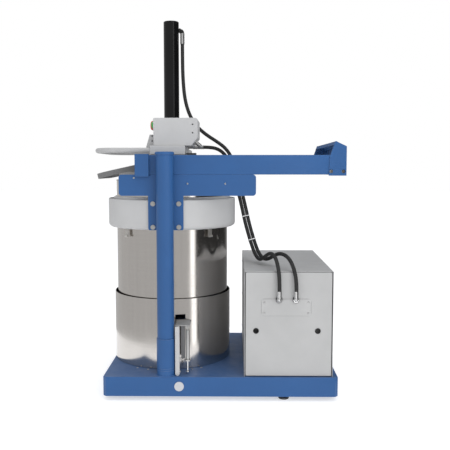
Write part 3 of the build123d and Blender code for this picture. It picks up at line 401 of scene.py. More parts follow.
def coat_group(edges, dust):
    """Powder coat: fine orange peel, faint clouding, rubbed edges with a painted edge highlight, and dust."""
    group, into, out = group_of(
        "Powder coat",
        [("Colour", "NodeSocketColor", (0.5, 0.5, 0.5, 1)), ("Roughness", "NodeSocketFloat", 0.4),
         ("Peel", "NodeSocketFloat", 0.12), ("Highlight_and_wear", "NodeSocketFloat", 0.2),
         ("Dust", "NodeSocketFloat", 0.1)],
        [("Colour", "NodeSocketColor"), ("Roughness", "NodeSocketFloat"), ("Normal", "NodeSocketVector")])
    links = group.links
    place = node(group, "ShaderNodeTexCoord").outputs["Object"]
    cloud = noise(group, place, 5.0, 4.0, 0.55)
    colour = blended(group, ranged(group, cloud, 0.3, 0.7, 0.0, 0.10), into.outputs["Colour"],
                     (0.02, 0.02, 0.025, 1))
    rubbed_and_highlit = node(group, "ShaderNodeGroup", node_tree=edges, sockets={"Width": 0.0025})
    links.new(into.outputs["Highlight_and_wear"], rubbed_and_highlit.inputs["Amount"])
    # Lighter paint along the edges: partly rubbed paint, partly a painted highlight where the edges catch the
    # light.
    lighter = blended(group, 0.55, into.outputs["Colour"], (0.85, 0.87, 0.9, 1))
    colour = blended(group, rubbed_and_highlit.outputs["Mask"], colour, lighter)
    film = node(group, "ShaderNodeGroup", node_tree=dust)
    links.new(into.outputs["Dust"], film.inputs["Amount"])
    colour = blended(group, film.outputs["Mask"], colour, (0.62, 0.61, 0.58, 1))
    links.new(colour, out.inputs["Colour"])
    smear = ranged(group, noise(group, place, 22.0, 5.0, 0.6), 0.3, 0.7, -0.06, 0.08)
    rough = sums(group, "ADD", into.outputs["Roughness"], smear)
    rough = sums(group, "ADD", rough, sums(group, "MULTIPLY", film.outputs["Mask"], 0.5))
    links.new(rough, out.inputs["Roughness"])
    bump = node(group, "ShaderNodeBump", sockets={"Distance": 0.0003})
    links.new(into.outputs["Peel"], bump.inputs["Strength"])
    links.new(noise(group, place, 420.0, 2.0, 0.5), bump.inputs["Height"])
    links.new(bump.outputs[0], out.inputs["Normal"])
    return group


def steel_group():
    """Rolled steel: fine grain lines round the axis, soft clouds, and faint upright polishing streaks."""
    group, into, out = group_of(
        "Rolled steel",
        [("Colour", "NodeSocketColor", (0.6, 0.6, 0.6, 1)), ("Roughness", "NodeSocketFloat", 0.2),
         ("Grain", "NodeSocketFloat", 0.1)],
        [("Colour", "NodeSocketColor"), ("Roughness", "NodeSocketFloat"), ("Normal", "NodeSocketVector")])
    links = group.links
    place = node(group, "ShaderNodeTexCoord").outputs["Object"]
    rings = node(group, "ShaderNodeMapping", sockets={"Scale": (6.0, 6.0, 900.0)})
    links.new(place, rings.inputs["Vector"])
    streaks = node(group, "ShaderNodeMapping", sockets={"Scale": (60.0, 60.0, 1.5)})
    links.new(place, streaks.inputs["Vector"])
    grain = noise(group, rings.outputs[0], 1.0, 3.0, 0.6)
    streak = noise(group, streaks.outputs[0], 1.0, 3.0, 0.6)
    cloud = noise(group, place, 3.5, 5.0, 0.6)
    colour = blended(group, ranged(group, grain, 0.3, 0.7, 0.0, 0.10), into.outputs["Colour"],
                     (0.2, 0.19, 0.18, 1))
    colour = blended(group, ranged(group, streak, 0.35, 0.7, 0.0, 0.07), colour, (0.25, 0.24, 0.23, 1))
    links.new(colour, out.inputs["Colour"])
    rough = sums(group, "ADD", into.outputs["Roughness"], ranged(group, cloud, 0.3, 0.7, -0.04, 0.06))
    rough = sums(group, "ADD", rough, ranged(group, grain, 0.3, 0.7, -0.03, 0.05))
    links.new(rough, out.inputs["Roughness"])
    bump = node(group, "ShaderNodeBump", sockets={"Distance": 0.00015})
    links.new(into.outputs["Grain"], bump.inputs["Strength"])
    links.new(grain, bump.inputs["Height"])
    links.new(bump.outputs[0], out.inputs["Normal"])
    return group


def moulded_group(dust):
    """Moulded plastic and rubber: fine leather-like grain, small gloss changes and dust."""
    group, into, out = group_of(
        "Moulded skin",
        [("Colour", "NodeSocketColor", (0.1, 0.1, 0.1, 1)), ("Roughness", "NodeSocketFloat", 0.5),
         ("Grain", "NodeSocketFloat", 0.2), ("Dust", "NodeSocketFloat", 0.15)],
        [("Colour", "NodeSocketColor"), ("Roughness", "NodeSocketFloat"), ("Normal", "NodeSocketVector")])
    links = group.links
    place = node(group, "ShaderNodeTexCoord").outputs["Object"]
    film = node(group, "ShaderNodeGroup", node_tree=dust)
    links.new(into.outputs["Dust"], film.inputs["Amount"])
    cloud = noise(group, place, 40.0, 3.0, 0.55)
    colour = blended(group, ranged(group, cloud, 0.3, 0.7, 0.0, 0.12), into.outputs["Colour"],
                     (0.35, 0.35, 0.35, 1))
    colour = blended(group, film.outputs["Mask"], colour, (0.5, 0.49, 0.46, 1))
    links.new(colour, out.inputs["Colour"])
    links.new(sums(group, "ADD", into.outputs["Roughness"], ranged(group, cloud, 0.3, 0.7, -0.05, 0.1)),
              out.inputs["Roughness"])
    bump = node(group, "ShaderNodeBump", sockets={"Distance": 0.0002})
    links.new(into.outputs["Grain"], bump.inputs["Strength"])
    links.new(noise(group, place, 900.0, 2.0, 0.6), bump.inputs["Height"])
    links.new(bump.outputs[0], out.inputs["Normal"])
    return group


def finish_material(name, group, values, metallic=0.0, coat=0.0, specular=0.5):
    """A material: a Principled shader whose colour, roughness and normal come from a group."""
    material = bpy.data.materials.new(name)
    material.use_nodes = True
    tree = material.node_tree
    shader = tree.nodes["Principled BSDF"]
    shader.inputs["Metallic"].default_value = metallic
    shader.inputs["Coat Weight"].default_value = coat
    shader.inputs["Specular IOR Level"].default_value = specular
    skin = node(tree, "ShaderNodeGroup", node_tree=group, sockets=values)
    tree.links.new(skin.outputs["Colour"], shader.inputs["Base Color"])
    tree.links.new(skin.outputs["Roughness"], shader.inputs["Roughness"])
    tree.links.new(skin.outputs["Normal"], shader.inputs["Normal"])
    return material


def hose_material(name, group):
    """Hose rubber: the moulded skin with the faint wrap of its outer ply, on the hose's own UV map."""
    material = finish_material(name, group, {"Colour": (0.018, 0.018, 0.019, 1), "Roughness": 0.36,
                                             "Grain": 0.15, "Dust": 0.06})
    tree = material.node_tree
    skin = next(n for n in tree.nodes if n.type == "GROUP")
    laid = node(tree, "ShaderNodeUVMap", uv_map="UVMap")
    turns = node(tree, "ShaderNodeMapping", sockets={"Rotation": (0, 0, math.radians(8))})
    wrap = node(tree, "ShaderNodeTexWave", wave_type="BANDS", bands_direction="Y",
                sockets={"Scale": 1.0, "Distortion": 0.4, "Detail": 1.0})
    bump = node(tree, "ShaderNodeBump", sockets={"Strength": 0.25, "Distance": 0.0003})
    tree.links.new(laid.outputs[0], turns.inputs["Vector"])
    tree.links.new(turns.outputs[0], wrap.inputs["Vector"])
    tree.links.new(wrap.outputs["Fac"], bump.inputs["Height"])
    tree.links.new(skin.outputs["Normal"], bump.inputs["Normal"])
    tree.links.new(bump.outputs[0], tree.nodes["Principled BSDF"].inputs["Normal"])
    return material


def make_materials(settings):
    """Every finish, by the record's slot name."""
    edges, dust = edge_wear_highlight_group(), dust_group()
    coat, steel, moulded = coat_group(edges, dust), steel_group(), moulded_group(dust)
    made = {}

    # The edge setting mixes rubbed paint with a painted highlight along the edges.
    def painted(slot, colour, roughness, peel=0.12, wear_and_highlight=settings.wear_and_highlight, specular=0.5, coat_weight=0.0):
        made[slot] = finish_material(
            slot, coat, {"Colour": (*colour, 1), "Roughness": roughness, "Peel": peel, "Highlight_and_wear": wear_and_highlight,
                         "Dust": settings.dust}, specular=specular, coat=coat_weight)

    def metal(slot, colour, roughness, grain):
        made[slot] = finish_material(
            slot, steel, {"Colour": (*colour, 1), "Roughness": roughness, "Grain": grain}, metallic=1.0)

    def plastic(slot, colour, roughness, grain=0.15, dusty=0.08, coat_weight=0.0, specular=0.5):
        made[slot] = finish_material(
            slot, moulded, {"Colour": (*colour, 1), "Roughness": roughness, "Grain": grain, "Dust": dusty},
            coat=coat_weight, specular=specular)

    painted("frame_blue", settings.blue, 0.42, specular=0.3)
    painted("cover_grey", settings.cover, 0.45, specular=0.4)
    painted("unit_grey", settings.unit, 0.5, peel=0.18, specular=0.35)
    painted("bracket_grey", (0.30, 0.30, 0.30), 0.45)
    painted("tank_grey", (0.2, 0.21, 0.23), 0.5)
    painted("handle_grey", (0.47, 0.47, 0.47), 0.38)
    painted("bow_grey", (0.17, 0.17, 0.17), 0.42)
    painted("cylinder_black", (0.004, 0.004, 0.004), 0.16, peel=0.03, wear_and_highlight=0.02, specular=0.3)
    metal("stainless_steel", settings.steel, 0.14, 0.05)
    metal("zinc_steel", (0.62, 0.62, 0.61), 0.30, 0.06)
    metal("fitting_steel", (0.72, 0.72, 0.71), 0.20, 0.03)
    metal("chromed_rod", (0.80, 0.80, 0.80), 0.10, 0.02)
    metal("dark_screws", (0.10, 0.10, 0.10), 0.38, 0.05)
    metal("cast_alloy", (0.42, 0.43, 0.45), 0.50, 0.30)
    plastic("wheel_nylon", (0.52, 0.50, 0.45), 0.5)
    plastic("black_rubber", (0.018, 0.018, 0.018), 0.62, grain=0.35)
    plastic("black_plastic", (0.003, 0.003, 0.003), 0.5, dusty=0.01, specular=0.12)
    plastic("grey_plastic", (0.55, 0.56, 0.58), 0.45)
    plastic("white_plastic", (0.74, 0.74, 0.72), 0.42)
    plastic("tie_white", (0.72, 0.72, 0.70), 0.40)
    plastic("red_plastic", (0.56, 0.03, 0.015), 0.28, grain=0.05, coat_weight=0.4)
    plastic("green_plastic", (0.03, 0.30, 0.06), 0.28, grain=0.05, coat_weight=0.4)
    made["hose_rubber"] = hose_material("hose_rubber", moulded)
    return made


def dress(piece, slot, body=None, *replaced):
    """Gives a new piece its finish and slot, its body and the nodes it stands for."""
    piece.data.materials.clear()
    piece.data.materials.append(bpy.data.materials[slot])
    if body:
        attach(piece, body)
    if replaced:
        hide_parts(*replaced)
    return piece


# ------------------------------------------------------------------------------- operators


class COMPACTOR_OT_finishes(bpy.types.Operator):
    """Make every finish and give it to the frame's own parts"""

    bl_idname = "compactor.finishes"
    bl_label = "Paint and plate the frame"

    def execute(self, context):
        made = make_materials(context.scene.compactor_finish)
        for name, part in NODES.items():
            part.data.materials.clear()
            part.data.materials.append(made[SLOT_OF[name]])
        return {"FINISHED"}


class COMPACTOR_OT_hoses(bpy.types.Operator):
    """Lay both hydraulic hoses and bind them with two cable ties"""

    bl_idname = "compactor.hoses"
    bl_label = "Hoses and ties"

    def execute(self, context):
        settings = context.scene.compactor_fittings
        lines = {}
        for name, route, length, node_name in (
                ("Hose_upper", UPPER_ROUTE, UPPER_LENGTH, "hose_upper"),
                ("Hose_lower", LOWER_ROUTE, LOWER_LENGTH, "hose_lower")):
            line = smooth_line(route)
            lines[name] = line
            hose = tube(name, line, settings.hose_diameter / 2, segments=24, uv=(1.0, length / 0.006))
            hose.data.shade_smooth()
            dress(hose, "hose_rubber", None, node_name)
            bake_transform(hose)
        straps = [self.tie(lines, height, settings) for height in TIE_HEIGHTS]
        ties = join("Cable_ties", straps)
        smooth(ties)
        dress(ties, "tie_white", None, "cable_ties")
        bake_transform(ties)
        return {"FINISHED"}

    def tie(self, lines, height, settings):
        """One tie: a thin strap round both hoses. Its line is the outline of two circles and the two
        straight sides between them; point = line + strap width along the hoses, strap thickness outwards."""
        centres, ahead = [], []
        for name in ("Hose_upper", "Hose_lower"):
            line = lines[name]
            i = int(np.argmin(np.abs(line[:, 2] - height) + (line[:, 1] < -0.12)))
            centres.append(line[i])
            ahead.append(directions(line)[i])
        along = (ahead[0] + ahead[1]) / np.linalg.norm(ahead[0] + ahead[1])
        apart = centres[0] - centres[1]
        apart -= along * (apart @ along)
        across = apart / np.linalg.norm(apart)
        out = np.cross(along, across)
        half = np.linalg.norm(apart) / 2
        centre = (centres[0] + centres[1]) / 2
        t = np.linspace(-np.pi / 2, np.pi / 2, 14)
        t = np.concatenate([t, t + np.pi])
        shift = np.where(np.cos(t) >= -1e-9, half, -half)
        shift[14:] = -half
        inner = settings.hose_diameter / 2 + TIE_GAP
        ring = across[None] * np.cos(t)[:, None] + out[None] * np.sin(t)[:, None]
        middles = centre + across[None] * shift[:, None]
        section = [(inner, -0.5), (inner, 0.5), (inner + TIE_STRAP, 0.5), (inner + TIE_STRAP, -0.5)]
        grid = np.stack([middles + ring * radius + along * (settings.tie_width * step)
                         for radius, step in section], axis=1)
        strap = grid_piece("strap", grid, across=True, along=True)
        lock_side = centre - out * (inner + 0.003)
        lock = turned("lock", [(0.0, -0.0035), (0.0038, -0.0035), (0.0045, -0.002), (0.0045, 0.002),
                               (0.0038, 0.0035), (0.0, 0.0035)], lock_side, along, segments=4)
        return join("tie", [strap, lock])


def crimped(start, direction, length, radius, rings=5):
    """The profile of a crimped ferrule: a sleeve with rings pressed into it, closed at both ends."""
    profile = [(0.0, 0.0), (radius * 0.86, 0.0), (radius, 0.0012)]
    pitch = (length - 0.006) / rings
    for i in range(rings):
        z = 0.003 + i * pitch
        profile += [(radius, z), (radius * 0.90, z + pitch * 0.3), (radius * 0.90, z + pitch * 0.55),
                    (radius, z + pitch * 0.85)]
    profile += [(radius, length - 0.0012), (radius * 0.9, length), (0.0, length)]
    return turned("ferrule", profile, start, direction, segments=32)


def nut(centre, direction, across_flats, height):
    """A hexagonal nut with chamfered corners: radius of a hexagon by angle, trimmed by a circle at both
    faces. radius = flats / 2 / cos(angle from the nearest flat)."""
    radius = across_flats / 2 / math.cos(math.pi / 6)
    profile = [(0.0, -height / 2), (radius * 0.88, -height / 2), (radius, -height / 2 + height * 0.14),
               (radius, height / 2 - height * 0.14), (radius * 0.88, height / 2), (0.0, height / 2)]
    return turned("nut", profile, centre, direction, segments=6)


class COMPACTOR_OT_fittings(bpy.types.Operator):
    """Turn the hose ends: elbows, nuts and crimped ferrules on the power unit and on the cylinder"""

    bl_idname = "compactor.fittings"
    bl_label = "Hose fittings"

    def execute(self, context):
        low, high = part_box("unit_elbows")
        pieces = []
        for route in (UPPER_ROUTE, LOWER_ROUTE):
            x, y, top = route[-1]
            port = low.z + 0.010825
            bend = bent_path([(x, high.y, port), (x, y, port), (x, y, port + 0.014)], 0.0118)
            pieces.append(tube("elbow", bend, 0.0078, segments=24))
            pieces.append(crimped((x, y, port + 0.010), (0, 0, 1), top - port - 0.008, 0.0113))
            pieces.append(nut((x, -0.4120, port), (0, 1, 0), 0.0238, 0.0095))
        elbows = join("Unit_elbows", pieces)
        smooth(elbows)
        dress(elbows, "fitting_steel", "machine_frame", "unit_elbows")

        # A thin black bead round the power unit's front panel, drawing a dark line along its edge.
        low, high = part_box("power_unit_front")
        dark_bead = outline("Panel_dark_bead", low, high, low.y + 0.0012, 0.006, 0.0014)
        dress(dark_bead, "black_rubber", "machine_frame")
        # A dark bead round the connection plate: painted shade of the gap round the plate's edge.
        low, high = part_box("connection_plate")
        shade_bead = outline("Plate_shade_line", low, high, low.y + 0.0010, 0.012, 0.0008)
        dress(shade_bead, "dark_screws", "machine_frame")

        low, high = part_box("port_fittings")
        upper, lower = UPPER_ROUTE[0], LOWER_ROUTE[0]
        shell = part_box("cylinder_tube")[1].x - 0.0006
        port = high.z - 0.009
        bend = bent_path([(shell, 0, port), (upper[0], 0, port), (upper[0], 0, port - 0.022)], 0.012)
        elbow = join("Cylinder_elbow", [tube("elbow", bend, 0.0095, segments=24),
                                        nut((shell + 0.006, 0, port), (1, 0, 0), 0.0225, 0.009)])
        smooth(elbow)
        dress(elbow, "cylinder_black", "head")
        pieces = [
            crimped((upper[0], 0, upper[2] - 0.001), (0, 0, 1), port - upper[2] - 0.012, 0.0114, rings=6),
            turned("nipple", [(0.0, 0.0), (0.0084, 0.0), (0.0084, lower[0] - shell - 0.05),
                              (0.0, lower[0] - shell - 0.05)], (shell, 0, lower[2]), (1, 0, 0), 24),
            nut((shell + 0.020, 0, lower[2]), (1, 0, 0), 0.0215, 0.014),
            nut((shell + 0.046, 0, lower[2]), (1, 0, 0), 0.0205, 0.012),
            crimped((lower[0] - 0.056, 0, lower[2]), (1, 0, 0), 0.057, 0.0104, rings=6),
        ]
        ports = join("Cylinder_fittings", pieces)
        smooth(ports)
        dress(ports, "fitting_steel", "head", "port_fittings")
        return {"FINISHED"}


def outline(name, low, high, front, corner, radius):
    """A thin bead round an upright rectangle in the plane y = front: quarter circles of the corner radius
    joined by straight runs."""
    turn = np.linspace(0, np.pi / 2, 7)
    corners = ((high.x - corner, high.z - corner, 0.0), (low.x + corner, high.z - corner, np.pi / 2),
               (low.x + corner, low.z + corner, np.pi), (high.x - corner, low.z + corner, 1.5 * np.pi))
    line = np.concatenate([np.stack([x + corner * np.cos(turn + start), front + 0 * turn,
                                     z + corner * np.sin(turn + start)], axis=-1) for x, z, start in corners])
    around = np.linspace(0, 2 * np.pi, 8, endpoint=False)
    centre = np.array([(low.x + high.x) / 2, front, (low.z + high.z) / 2])
    out = np.gradient(np.concatenate([line[-1:], line, line[:1]]), axis=0)[1:-1]
    out = np.cross(out / np.linalg.norm(out, axis=1)[:, None], (0, 1, 0))
    out *= np.sign(np.sum(out * (line - centre), axis=1))[:, None]
    grid = (line[:, None] + radius * np.cos(around)[None, :, None] * out[:, None]
            + radius * np.sin(around)[None, :, None] * np.array((0, 1, 0)))
    return smooth(grid_piece(name, grid, across=True, along=True))


class COMPACTOR_OT_buttons(bpy.types.Operator):
    """Turn the red stop mushroom and the green start button"""

    bl_idname = "compactor.buttons"
    bl_label = "Control buttons"

    def execute(self, context):
        low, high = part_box("stop_button")
        centre = (low + high) / 2
        deep = high.x - low.x
        head = (high.z - low.z) / 2
        a = np.linspace(0, np.pi / 2, 10)
        dome = [(head * math.cos(t) ** 0.7, deep - 0.010 + 0.010 * math.sin(t)) for t in a[:-1]]
        profile = [(0.0, 0.0), (0.0079, 0.0), (0.0079, deep - 0.0135), (head * 0.72, deep - 0.0125),
                   (head * 0.97, deep - 0.0115)] + dome + [(0.0, deep)]
        stop = turned("Stop_button", profile, (high.x, centre.y, centre.z), (-1, 0, 0), 56)
        smooth(stop)
        dress(stop, "red_plastic", "stop_body", "stop_button")

        low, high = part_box("start_button")
        centre = (low + high) / 2
        deep, radius = high.x - low.x, (high.z - low.z) / 2
        profile = [(0.0, 0.0), (radius, 0.0), (radius, deep - 0.0035), (radius - 0.0012, deep - 0.0012),
                   (radius - 0.0045, deep), (radius - 0.0055, deep - 0.0014),
                   (radius * 0.45, deep - 0.0022), (0.0, deep - 0.0024)]
        start = turned("Start_button", profile, (high.x, centre.y, centre.z), (-1, 0, 0), 48)
        smooth(start)
        dress(start, "green_plastic", "start_body", "start_button")
        return {"FINISHED"}


def loose_parts(name):
    """The box of each separate solid of a node, as (low, high) arrays."""
    work = bmesh.new()
    work.from_mesh(NODES[name].data)
    bmesh.ops.remove_doubles(work, verts=work.verts, dist=1e-6)
    work.verts.ensure_lookup_table()
    left, found = set(work.verts), []
    while left:
        group, edge = [], [left.pop()]
        while edge:
            vertex = edge.pop()
            group.append(vertex.co.copy())
            for link in vertex.link_edges:
                other = link.other_vert(vertex)
                if other in left:
                    left.remove(other)
                    edge.append(other)
        points = np.array(group, float)
        found.append((points.min(0), points.max(0)))
    work.free()
    return sorted(found, key=lambda box: tuple(np.round(box[0], 4)))


def button_head(foot, direction, radius, height):
    """A button-head screw: a dome with a round socket sunk in its middle."""
    a = np.linspace(0, 1, 6)
    dome = [(radius * math.cos(t * 1.05), height * math.sin(t * 1.05) / math.sin(1.05)) for t in a]
    socket = [(radius * 0.42, height), (radius * 0.40, height * 0.35), (0.0, height * 0.3)]
    profile = [(0.0, 0.0), (radius, 0.0)] + dome[1:] + socket
    return turned("screw", profile, foot, direction, segments=24)


class COMPACTOR_OT_screws(bpy.types.Operator):
    """Turn the button-head screws of the side plates, covers and power unit"""

    bl_idname = "compactor.screws"
    bl_label = "Screws"

    def execute(self, context):
        for name, slot, body in (("frame_screws", "zinc_steel", "machine_frame"),
                                 ("head_screws", "dark_screws", "head")):
            made = []
            for low, high in loose_parts(name):
                size, centre = high - low, (low + high) / 2
                foot, way = self.seat(name, low, high, size, centre)
                radius = np.sort(size)[1:].mean() / 2 if name == "head_screws" else self.head_radius(size)
                made.append(button_head(foot, way, radius, 0.0022 if radius < 0.0048 else 0.0026))
            screws = join(name.title(), made)
            smooth(screws)
            dress(screws, slot, body, name)
        return {"FINISHED"}

    def head_radius(self, size):
        """Half of the screw's width across its head."""
        return np.sort(size)[1] / 2 if size.max() > 0.0095 or size.min() > 0.004 else size.max() / 2

    def seat(self, name, low, high, size, centre):
        """The middle of the face a screw's head sits on, and the way its head points."""
        if size[2] < 0.0035:
            return (centre[0], centre[1], low[2]), (0, 0, 1)
        if size[0] < 0.0035:
            right = centre[0] > middle("power_unit_case").x
            side = low[0] if right else high[0]
            return (side, centre[1], centre[2]), ((1, 0, 0) if right else (-1, 0, 0))
        front = centre[1] < 0
        head = 0.0022 if size[1] > 0.005 else size[1]
        if name == "frame_screws":
            head = 0.0020 if size[1] > 0.0075 else 0.0022
        y = low[1] + head if front else high[1] - head
        return (centre[0], y, centre[2]), ((0, -1, 0) if front else (0, 1, 0))


class COMPACTOR_OT_welds(bpy.types.Operator):
    """Lay the rippled weld beads round the columns' feet"""

    bl_idname = "compactor.welds"
    bl_label = "Weld beads"

    def execute(self, context):
        size = context.scene.compactor_fittings.weld
        beads = []
        low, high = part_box("column_sockets")
        radius = (high.x - low.x) / 2
        for side in (-1, 1):
            y = low.y + radius if side < 0 else high.y - radius
            beads.append(self.bead((AXIS_X, y, TRAY_TOP), radius, size))
        welds = join("Weld_beads", beads)
        welds.data.shade_smooth()
        dress(welds, "frame_blue", "machine_frame")
        return {"FINISHED"}

    def bead(self, centre, radius, size):
        """A rippled ring: a circle of the bead's size carried round, swelling with each of 60 ripples.
        swell = size * (1 + 0.12 sin(60 (u + 0.03 cos v))), so that each ripple leans along the seam."""
        u = np.linspace(0, 2 * np.pi, 240, endpoint=False)[:, None]
        v = np.linspace(0, 2 * np.pi, 12, endpoint=False)[None, :]
        swell = size * (1 + 0.12 * np.sin(60 * (u + 0.03 * np.cos(v))))
        reach = radius + swell * np.cos(v)
        height = np.maximum(swell * np.sin(v), -0.0004)
        grid = np.stack([centre[0] + reach * np.cos(u), centre[1] + reach * np.sin(u),
                         centre[2] + height], axis=-1)
        return grid_piece("bead", grid, across=True, along=True)


class COMPACTOR_OT_hooks(bpy.types.Operator):
    """Bend the bag hooks that hang under the collar"""

    bl_idname = "compactor.hooks"
    bl_label = "Bag hooks"

    def execute(self, context):
        made = []
        for low, high in loose_parts("bag_hooks"):
            centre = (low + high) / 2
            way = np.array((centre[0] - AXIS_X, centre[1], 0.0))
            way /= np.linalg.norm(way)
            made.append(self.hook(way, high[2], low[2]))
        hooks = join("Bag_hooks", made)
        smooth(hooks, 50)
        dress(hooks, "stainless_steel", "machine_frame", "bag_hooks")
        return {"FINISHED"}

    def hook(self, way, top, foot):
        """A strip bent to a J: its line runs out under the collar, down, and turns up at the foot. The
        strip's two faces and two edges are the line moved along its normal and along its width."""
        line = np.array([(0.292, top - 0.001), (0.2975, top - 0.001), (0.2993, top - 0.003),
                         (0.2996, top - 0.010), (0.2996, foot + 0.010), (0.3006, foot + 0.004),
                         (0.3035, foot + 0.0012), (0.3065, foot + 0.004), (0.3075, foot + 0.011)])
        step = np.gradient(line, axis=0)
        normal = np.stack([step[:, 1], -step[:, 0]], axis=1) / np.linalg.norm(step, axis=1)[:, None]
        aside = np.array((-way[1], way[0], 0.0))
        grid = []
        for lift, share in ((-0.5, -0.5), (-0.5, 0.5), (0.5, 0.5), (0.5, -0.5)):
            r = line[:, 0] + normal[:, 0] * lift * HOOK_STRIP
            z = line[:, 1] + normal[:, 1] * lift * HOOK_STRIP
            grid.append(np.array((AXIS_X, 0, 0)) + way * r[:, None] + aside * (share * HOOK_WIDTH)
                        + np.array((0, 0, 1.0)) * z[:, None])
        grid = np.stack(grid, axis=1)
        ends = np.concatenate([grid[:1].mean(1, keepdims=True).repeat(4, 1), grid,
                               grid[-1:].mean(1, keepdims=True).repeat(4, 1)])
        return grid_piece("hook", ends, across=True)


# The light tent: an even grey wall with one bright strip and one dark side, as (degrees from the front
# towards the power unit, brightness).
TENT = ((-180, 0.55), (35, 0.55), (38, 2.0), (44, 2.0), (47, 0.03), (130, 0.03), (180, 0.55))
TENT_RADIUS = 1.05  # clear of the whole machine
TENT_BOTTOM = 0.02
TENT_TOP = 4.0
TENT_PEAK = 2.0


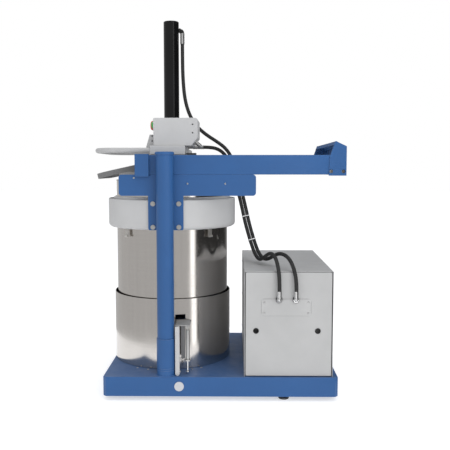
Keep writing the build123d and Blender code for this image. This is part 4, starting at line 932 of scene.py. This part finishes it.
class COMPACTOR_OT_stage(bpy.types.Operator):
    """Set up the pale floor, the soft lights, the studio surroundings and the camera"""

    bl_idname = "compactor.stage"
    bl_label = "Studio"

    def execute(self, context):
        settings = context.scene.compactor_stage
        context.scene.view_settings.view_transform = "Standard"
        self.floor(settings)
        self.surroundings(context)
        self.tent()
        self.light("Front_light", settings.front_light, (2.4, -4.3, 2.4), (0.0, 0, 0.85), 3.0)
        self.light("Top_light", settings.top_light, (0.3, -0.6, 4.6), (0.1, 0, 0.5), 3.0)
        self.camera(context, settings)
        return {"FINISHED"}

    def floor(self, settings):
        """A flat disc: rings of growing radius round the middle."""
        r = np.array((0.0, 1.0, 3.0, 9.0, settings.floor_radius))[:, None]
        t = np.linspace(0, 2 * np.pi, 64, endpoint=False)[None, :]
        grid = np.stack([r * np.cos(t), r * np.sin(t), 0 * r * t], axis=-1)
        floor = grid_piece("Floor", grid, across=True)
        material = bpy.data.materials.new("Floor_paper")
        material.use_nodes = True
        shader = material.node_tree.nodes["Principled BSDF"]
        shader.inputs["Base Color"].default_value = (0.7, 0.7, 0.7, 1)
        shader.inputs["Roughness"].default_value = 0.9
        shader.inputs["Specular IOR Level"].default_value = 0.1
        shader.inputs["Emission Color"].default_value = (1, 1, 1, 1)
        shader.inputs["Emission Strength"].default_value = 0.55
        floor.data.materials.append(material)

    def surroundings(self, context):
        """White to the camera, and an even soft light to everything else."""
        world = bpy.data.worlds.new("Studio")
        context.scene.world = world
        world.use_nodes = True
        tree = world.node_tree
        tree.nodes.clear()
        seen = node(tree, "ShaderNodeLightPath").outputs["Is Camera Ray"]
        colour = blended(tree, seen, (0.72, 0.73, 0.75, 1), (1, 1, 1, 1))
        back = node(tree, "ShaderNodeBackground")
        tree.links.new(colour, back.inputs["Color"])
        out = node(tree, "ShaderNodeOutputWorld")
        tree.links.new(back.outputs[0], out.inputs["Surface"])

    def tent(self):
        """The round wall of a light tent, seen only in shiny parts: points at x = r cos t, y = r sin t."""
        turns = np.linspace(0, 2 * np.pi, 96, endpoint=False)[None, :]
        heights = np.array((TENT_BOTTOM, TENT_TOP))[:, None]
        grid = np.stack([AXIS_X + TENT_RADIUS * np.cos(turns) + 0 * heights,
                         TENT_RADIUS * np.sin(turns) + 0 * heights, heights + 0 * turns], axis=-1)
        wall = grid_piece("Light_tent", grid, across=True)
        material = bpy.data.materials.new("Tent_cloth")
        material.use_nodes = True
        tree = material.node_tree
        tree.nodes.clear()
        parts = node(tree, "ShaderNodeSeparateXYZ")
        tree.links.new(node(tree, "ShaderNodeTexCoord").outputs["Object"], parts.inputs[0])
        aside = sums(tree, "SUBTRACT", parts.outputs["X"], AXIS_X)
        turn = sums(tree, "ARCTAN2", aside, sums(tree, "MULTIPLY", parts.outputs["Y"], -1.0))
        ramp = node(tree, "ShaderNodeValToRGB")
        tree.links.new(ranged(tree, turn, -math.pi, math.pi, 0.0, 1.0), ramp.inputs[0])
        elements = ramp.color_ramp.elements
        while len(elements) < len(TENT):
            elements.new(0.5)
        for element, (angle, brightness) in zip(elements, TENT):
            element.position = (angle + 180) / 360
            element.color = (*[brightness / TENT_PEAK] * 3, 1)
        shader = node(tree, "ShaderNodeEmission", sockets={"Strength": TENT_PEAK})
        tree.links.new(ramp.outputs["Color"], shader.inputs["Color"])
        out = node(tree, "ShaderNodeOutputMaterial")
        tree.links.new(shader.outputs[0], out.inputs["Surface"])
        wall.data.materials.append(material)
        wall.visible_camera = wall.visible_diffuse = wall.visible_shadow = False
        wall.visible_transmission = wall.visible_volume_scatter = False

    def light(self, name, power, place, aim, size):
        """A square soft light that points at aim and isn't mirrored in shiny parts."""
        data = bpy.data.lights.new(name, "AREA")
        data.energy, data.size, data.shape = power, size, "SQUARE"
        lamp = bpy.data.objects.new(name, data)
        lamp.location = place
        lamp.rotation_euler = (Vector(aim) - Vector(place)).to_track_quat("-Z", "Y").to_euler()
        lamp.visible_glossy = False
        bpy.context.scene.collection.objects.link(lamp)

    def camera(self, context, settings):
        data = bpy.data.cameras.new("Camera")
        data.lens, data.sensor_width, data.clip_end = settings.lens, 36.0, 100.0
        eye = bpy.data.objects.new("Camera", data)
        eye.location = (0.07775, -3.379, 1.0868)
        eye.rotation_euler = (math.radians(90 - 4.909), 0, math.radians(0.754))
        context.scene.collection.objects.link(eye)
        context.scene.camera = eye


OPERATORS = (
    COMPACTOR_OT_finishes, COMPACTOR_OT_hoses, COMPACTOR_OT_fittings, COMPACTOR_OT_buttons,
    COMPACTOR_OT_screws, COMPACTOR_OT_welds, COMPACTOR_OT_hooks, COMPACTOR_OT_stage,
)


class COMPACTOR_PT_panel(bpy.types.Panel):
    """Every step of the compactor's looks, in order"""

    bl_idname = "COMPACTOR_PT_panel"
    bl_label = "Drum compactor"
    bl_space_type = "VIEW_3D"
    bl_region_type = "UI"
    bl_category = "Compactor"

    def draw(self, context):
        for group in (context.scene.compactor_finish, context.scene.compactor_fittings,
                      context.scene.compactor_stage):
            for name in group.__annotations__:
                self.layout.prop(group, name)
        for operator in OPERATORS:
            self.layout.operator(operator.bl_idname)


CLASSES = (FinishSettings, FittingSettings, StageSettings, *OPERATORS, COMPACTOR_PT_panel)


def register():
    for each in CLASSES:
        bpy.utils.register_class(each)
    bpy.types.Scene.compactor_finish = bpy.props.PointerProperty(type=FinishSettings)
    bpy.types.Scene.compactor_fittings = bpy.props.PointerProperty(type=FittingSettings)
    bpy.types.Scene.compactor_stage = bpy.props.PointerProperty(type=StageSettings)


def unregister():
    del bpy.types.Scene.compactor_stage
    del bpy.types.Scene.compactor_fittings
    del bpy.types.Scene.compactor_finish
    for each in reversed(CLASSES):
        bpy.utils.unregister_class(each)


def main():
    register()
    bpy.ops.compactor.finishes()
    bpy.ops.compactor.hoses()
    bpy.ops.compactor.fittings()
    bpy.ops.compactor.buttons()
    bpy.ops.compactor.screws()
    bpy.ops.compactor.welds()
    bpy.ops.compactor.hooks()
    bpy.ops.compactor.stage()


if __name__ == "__main__":
    main()
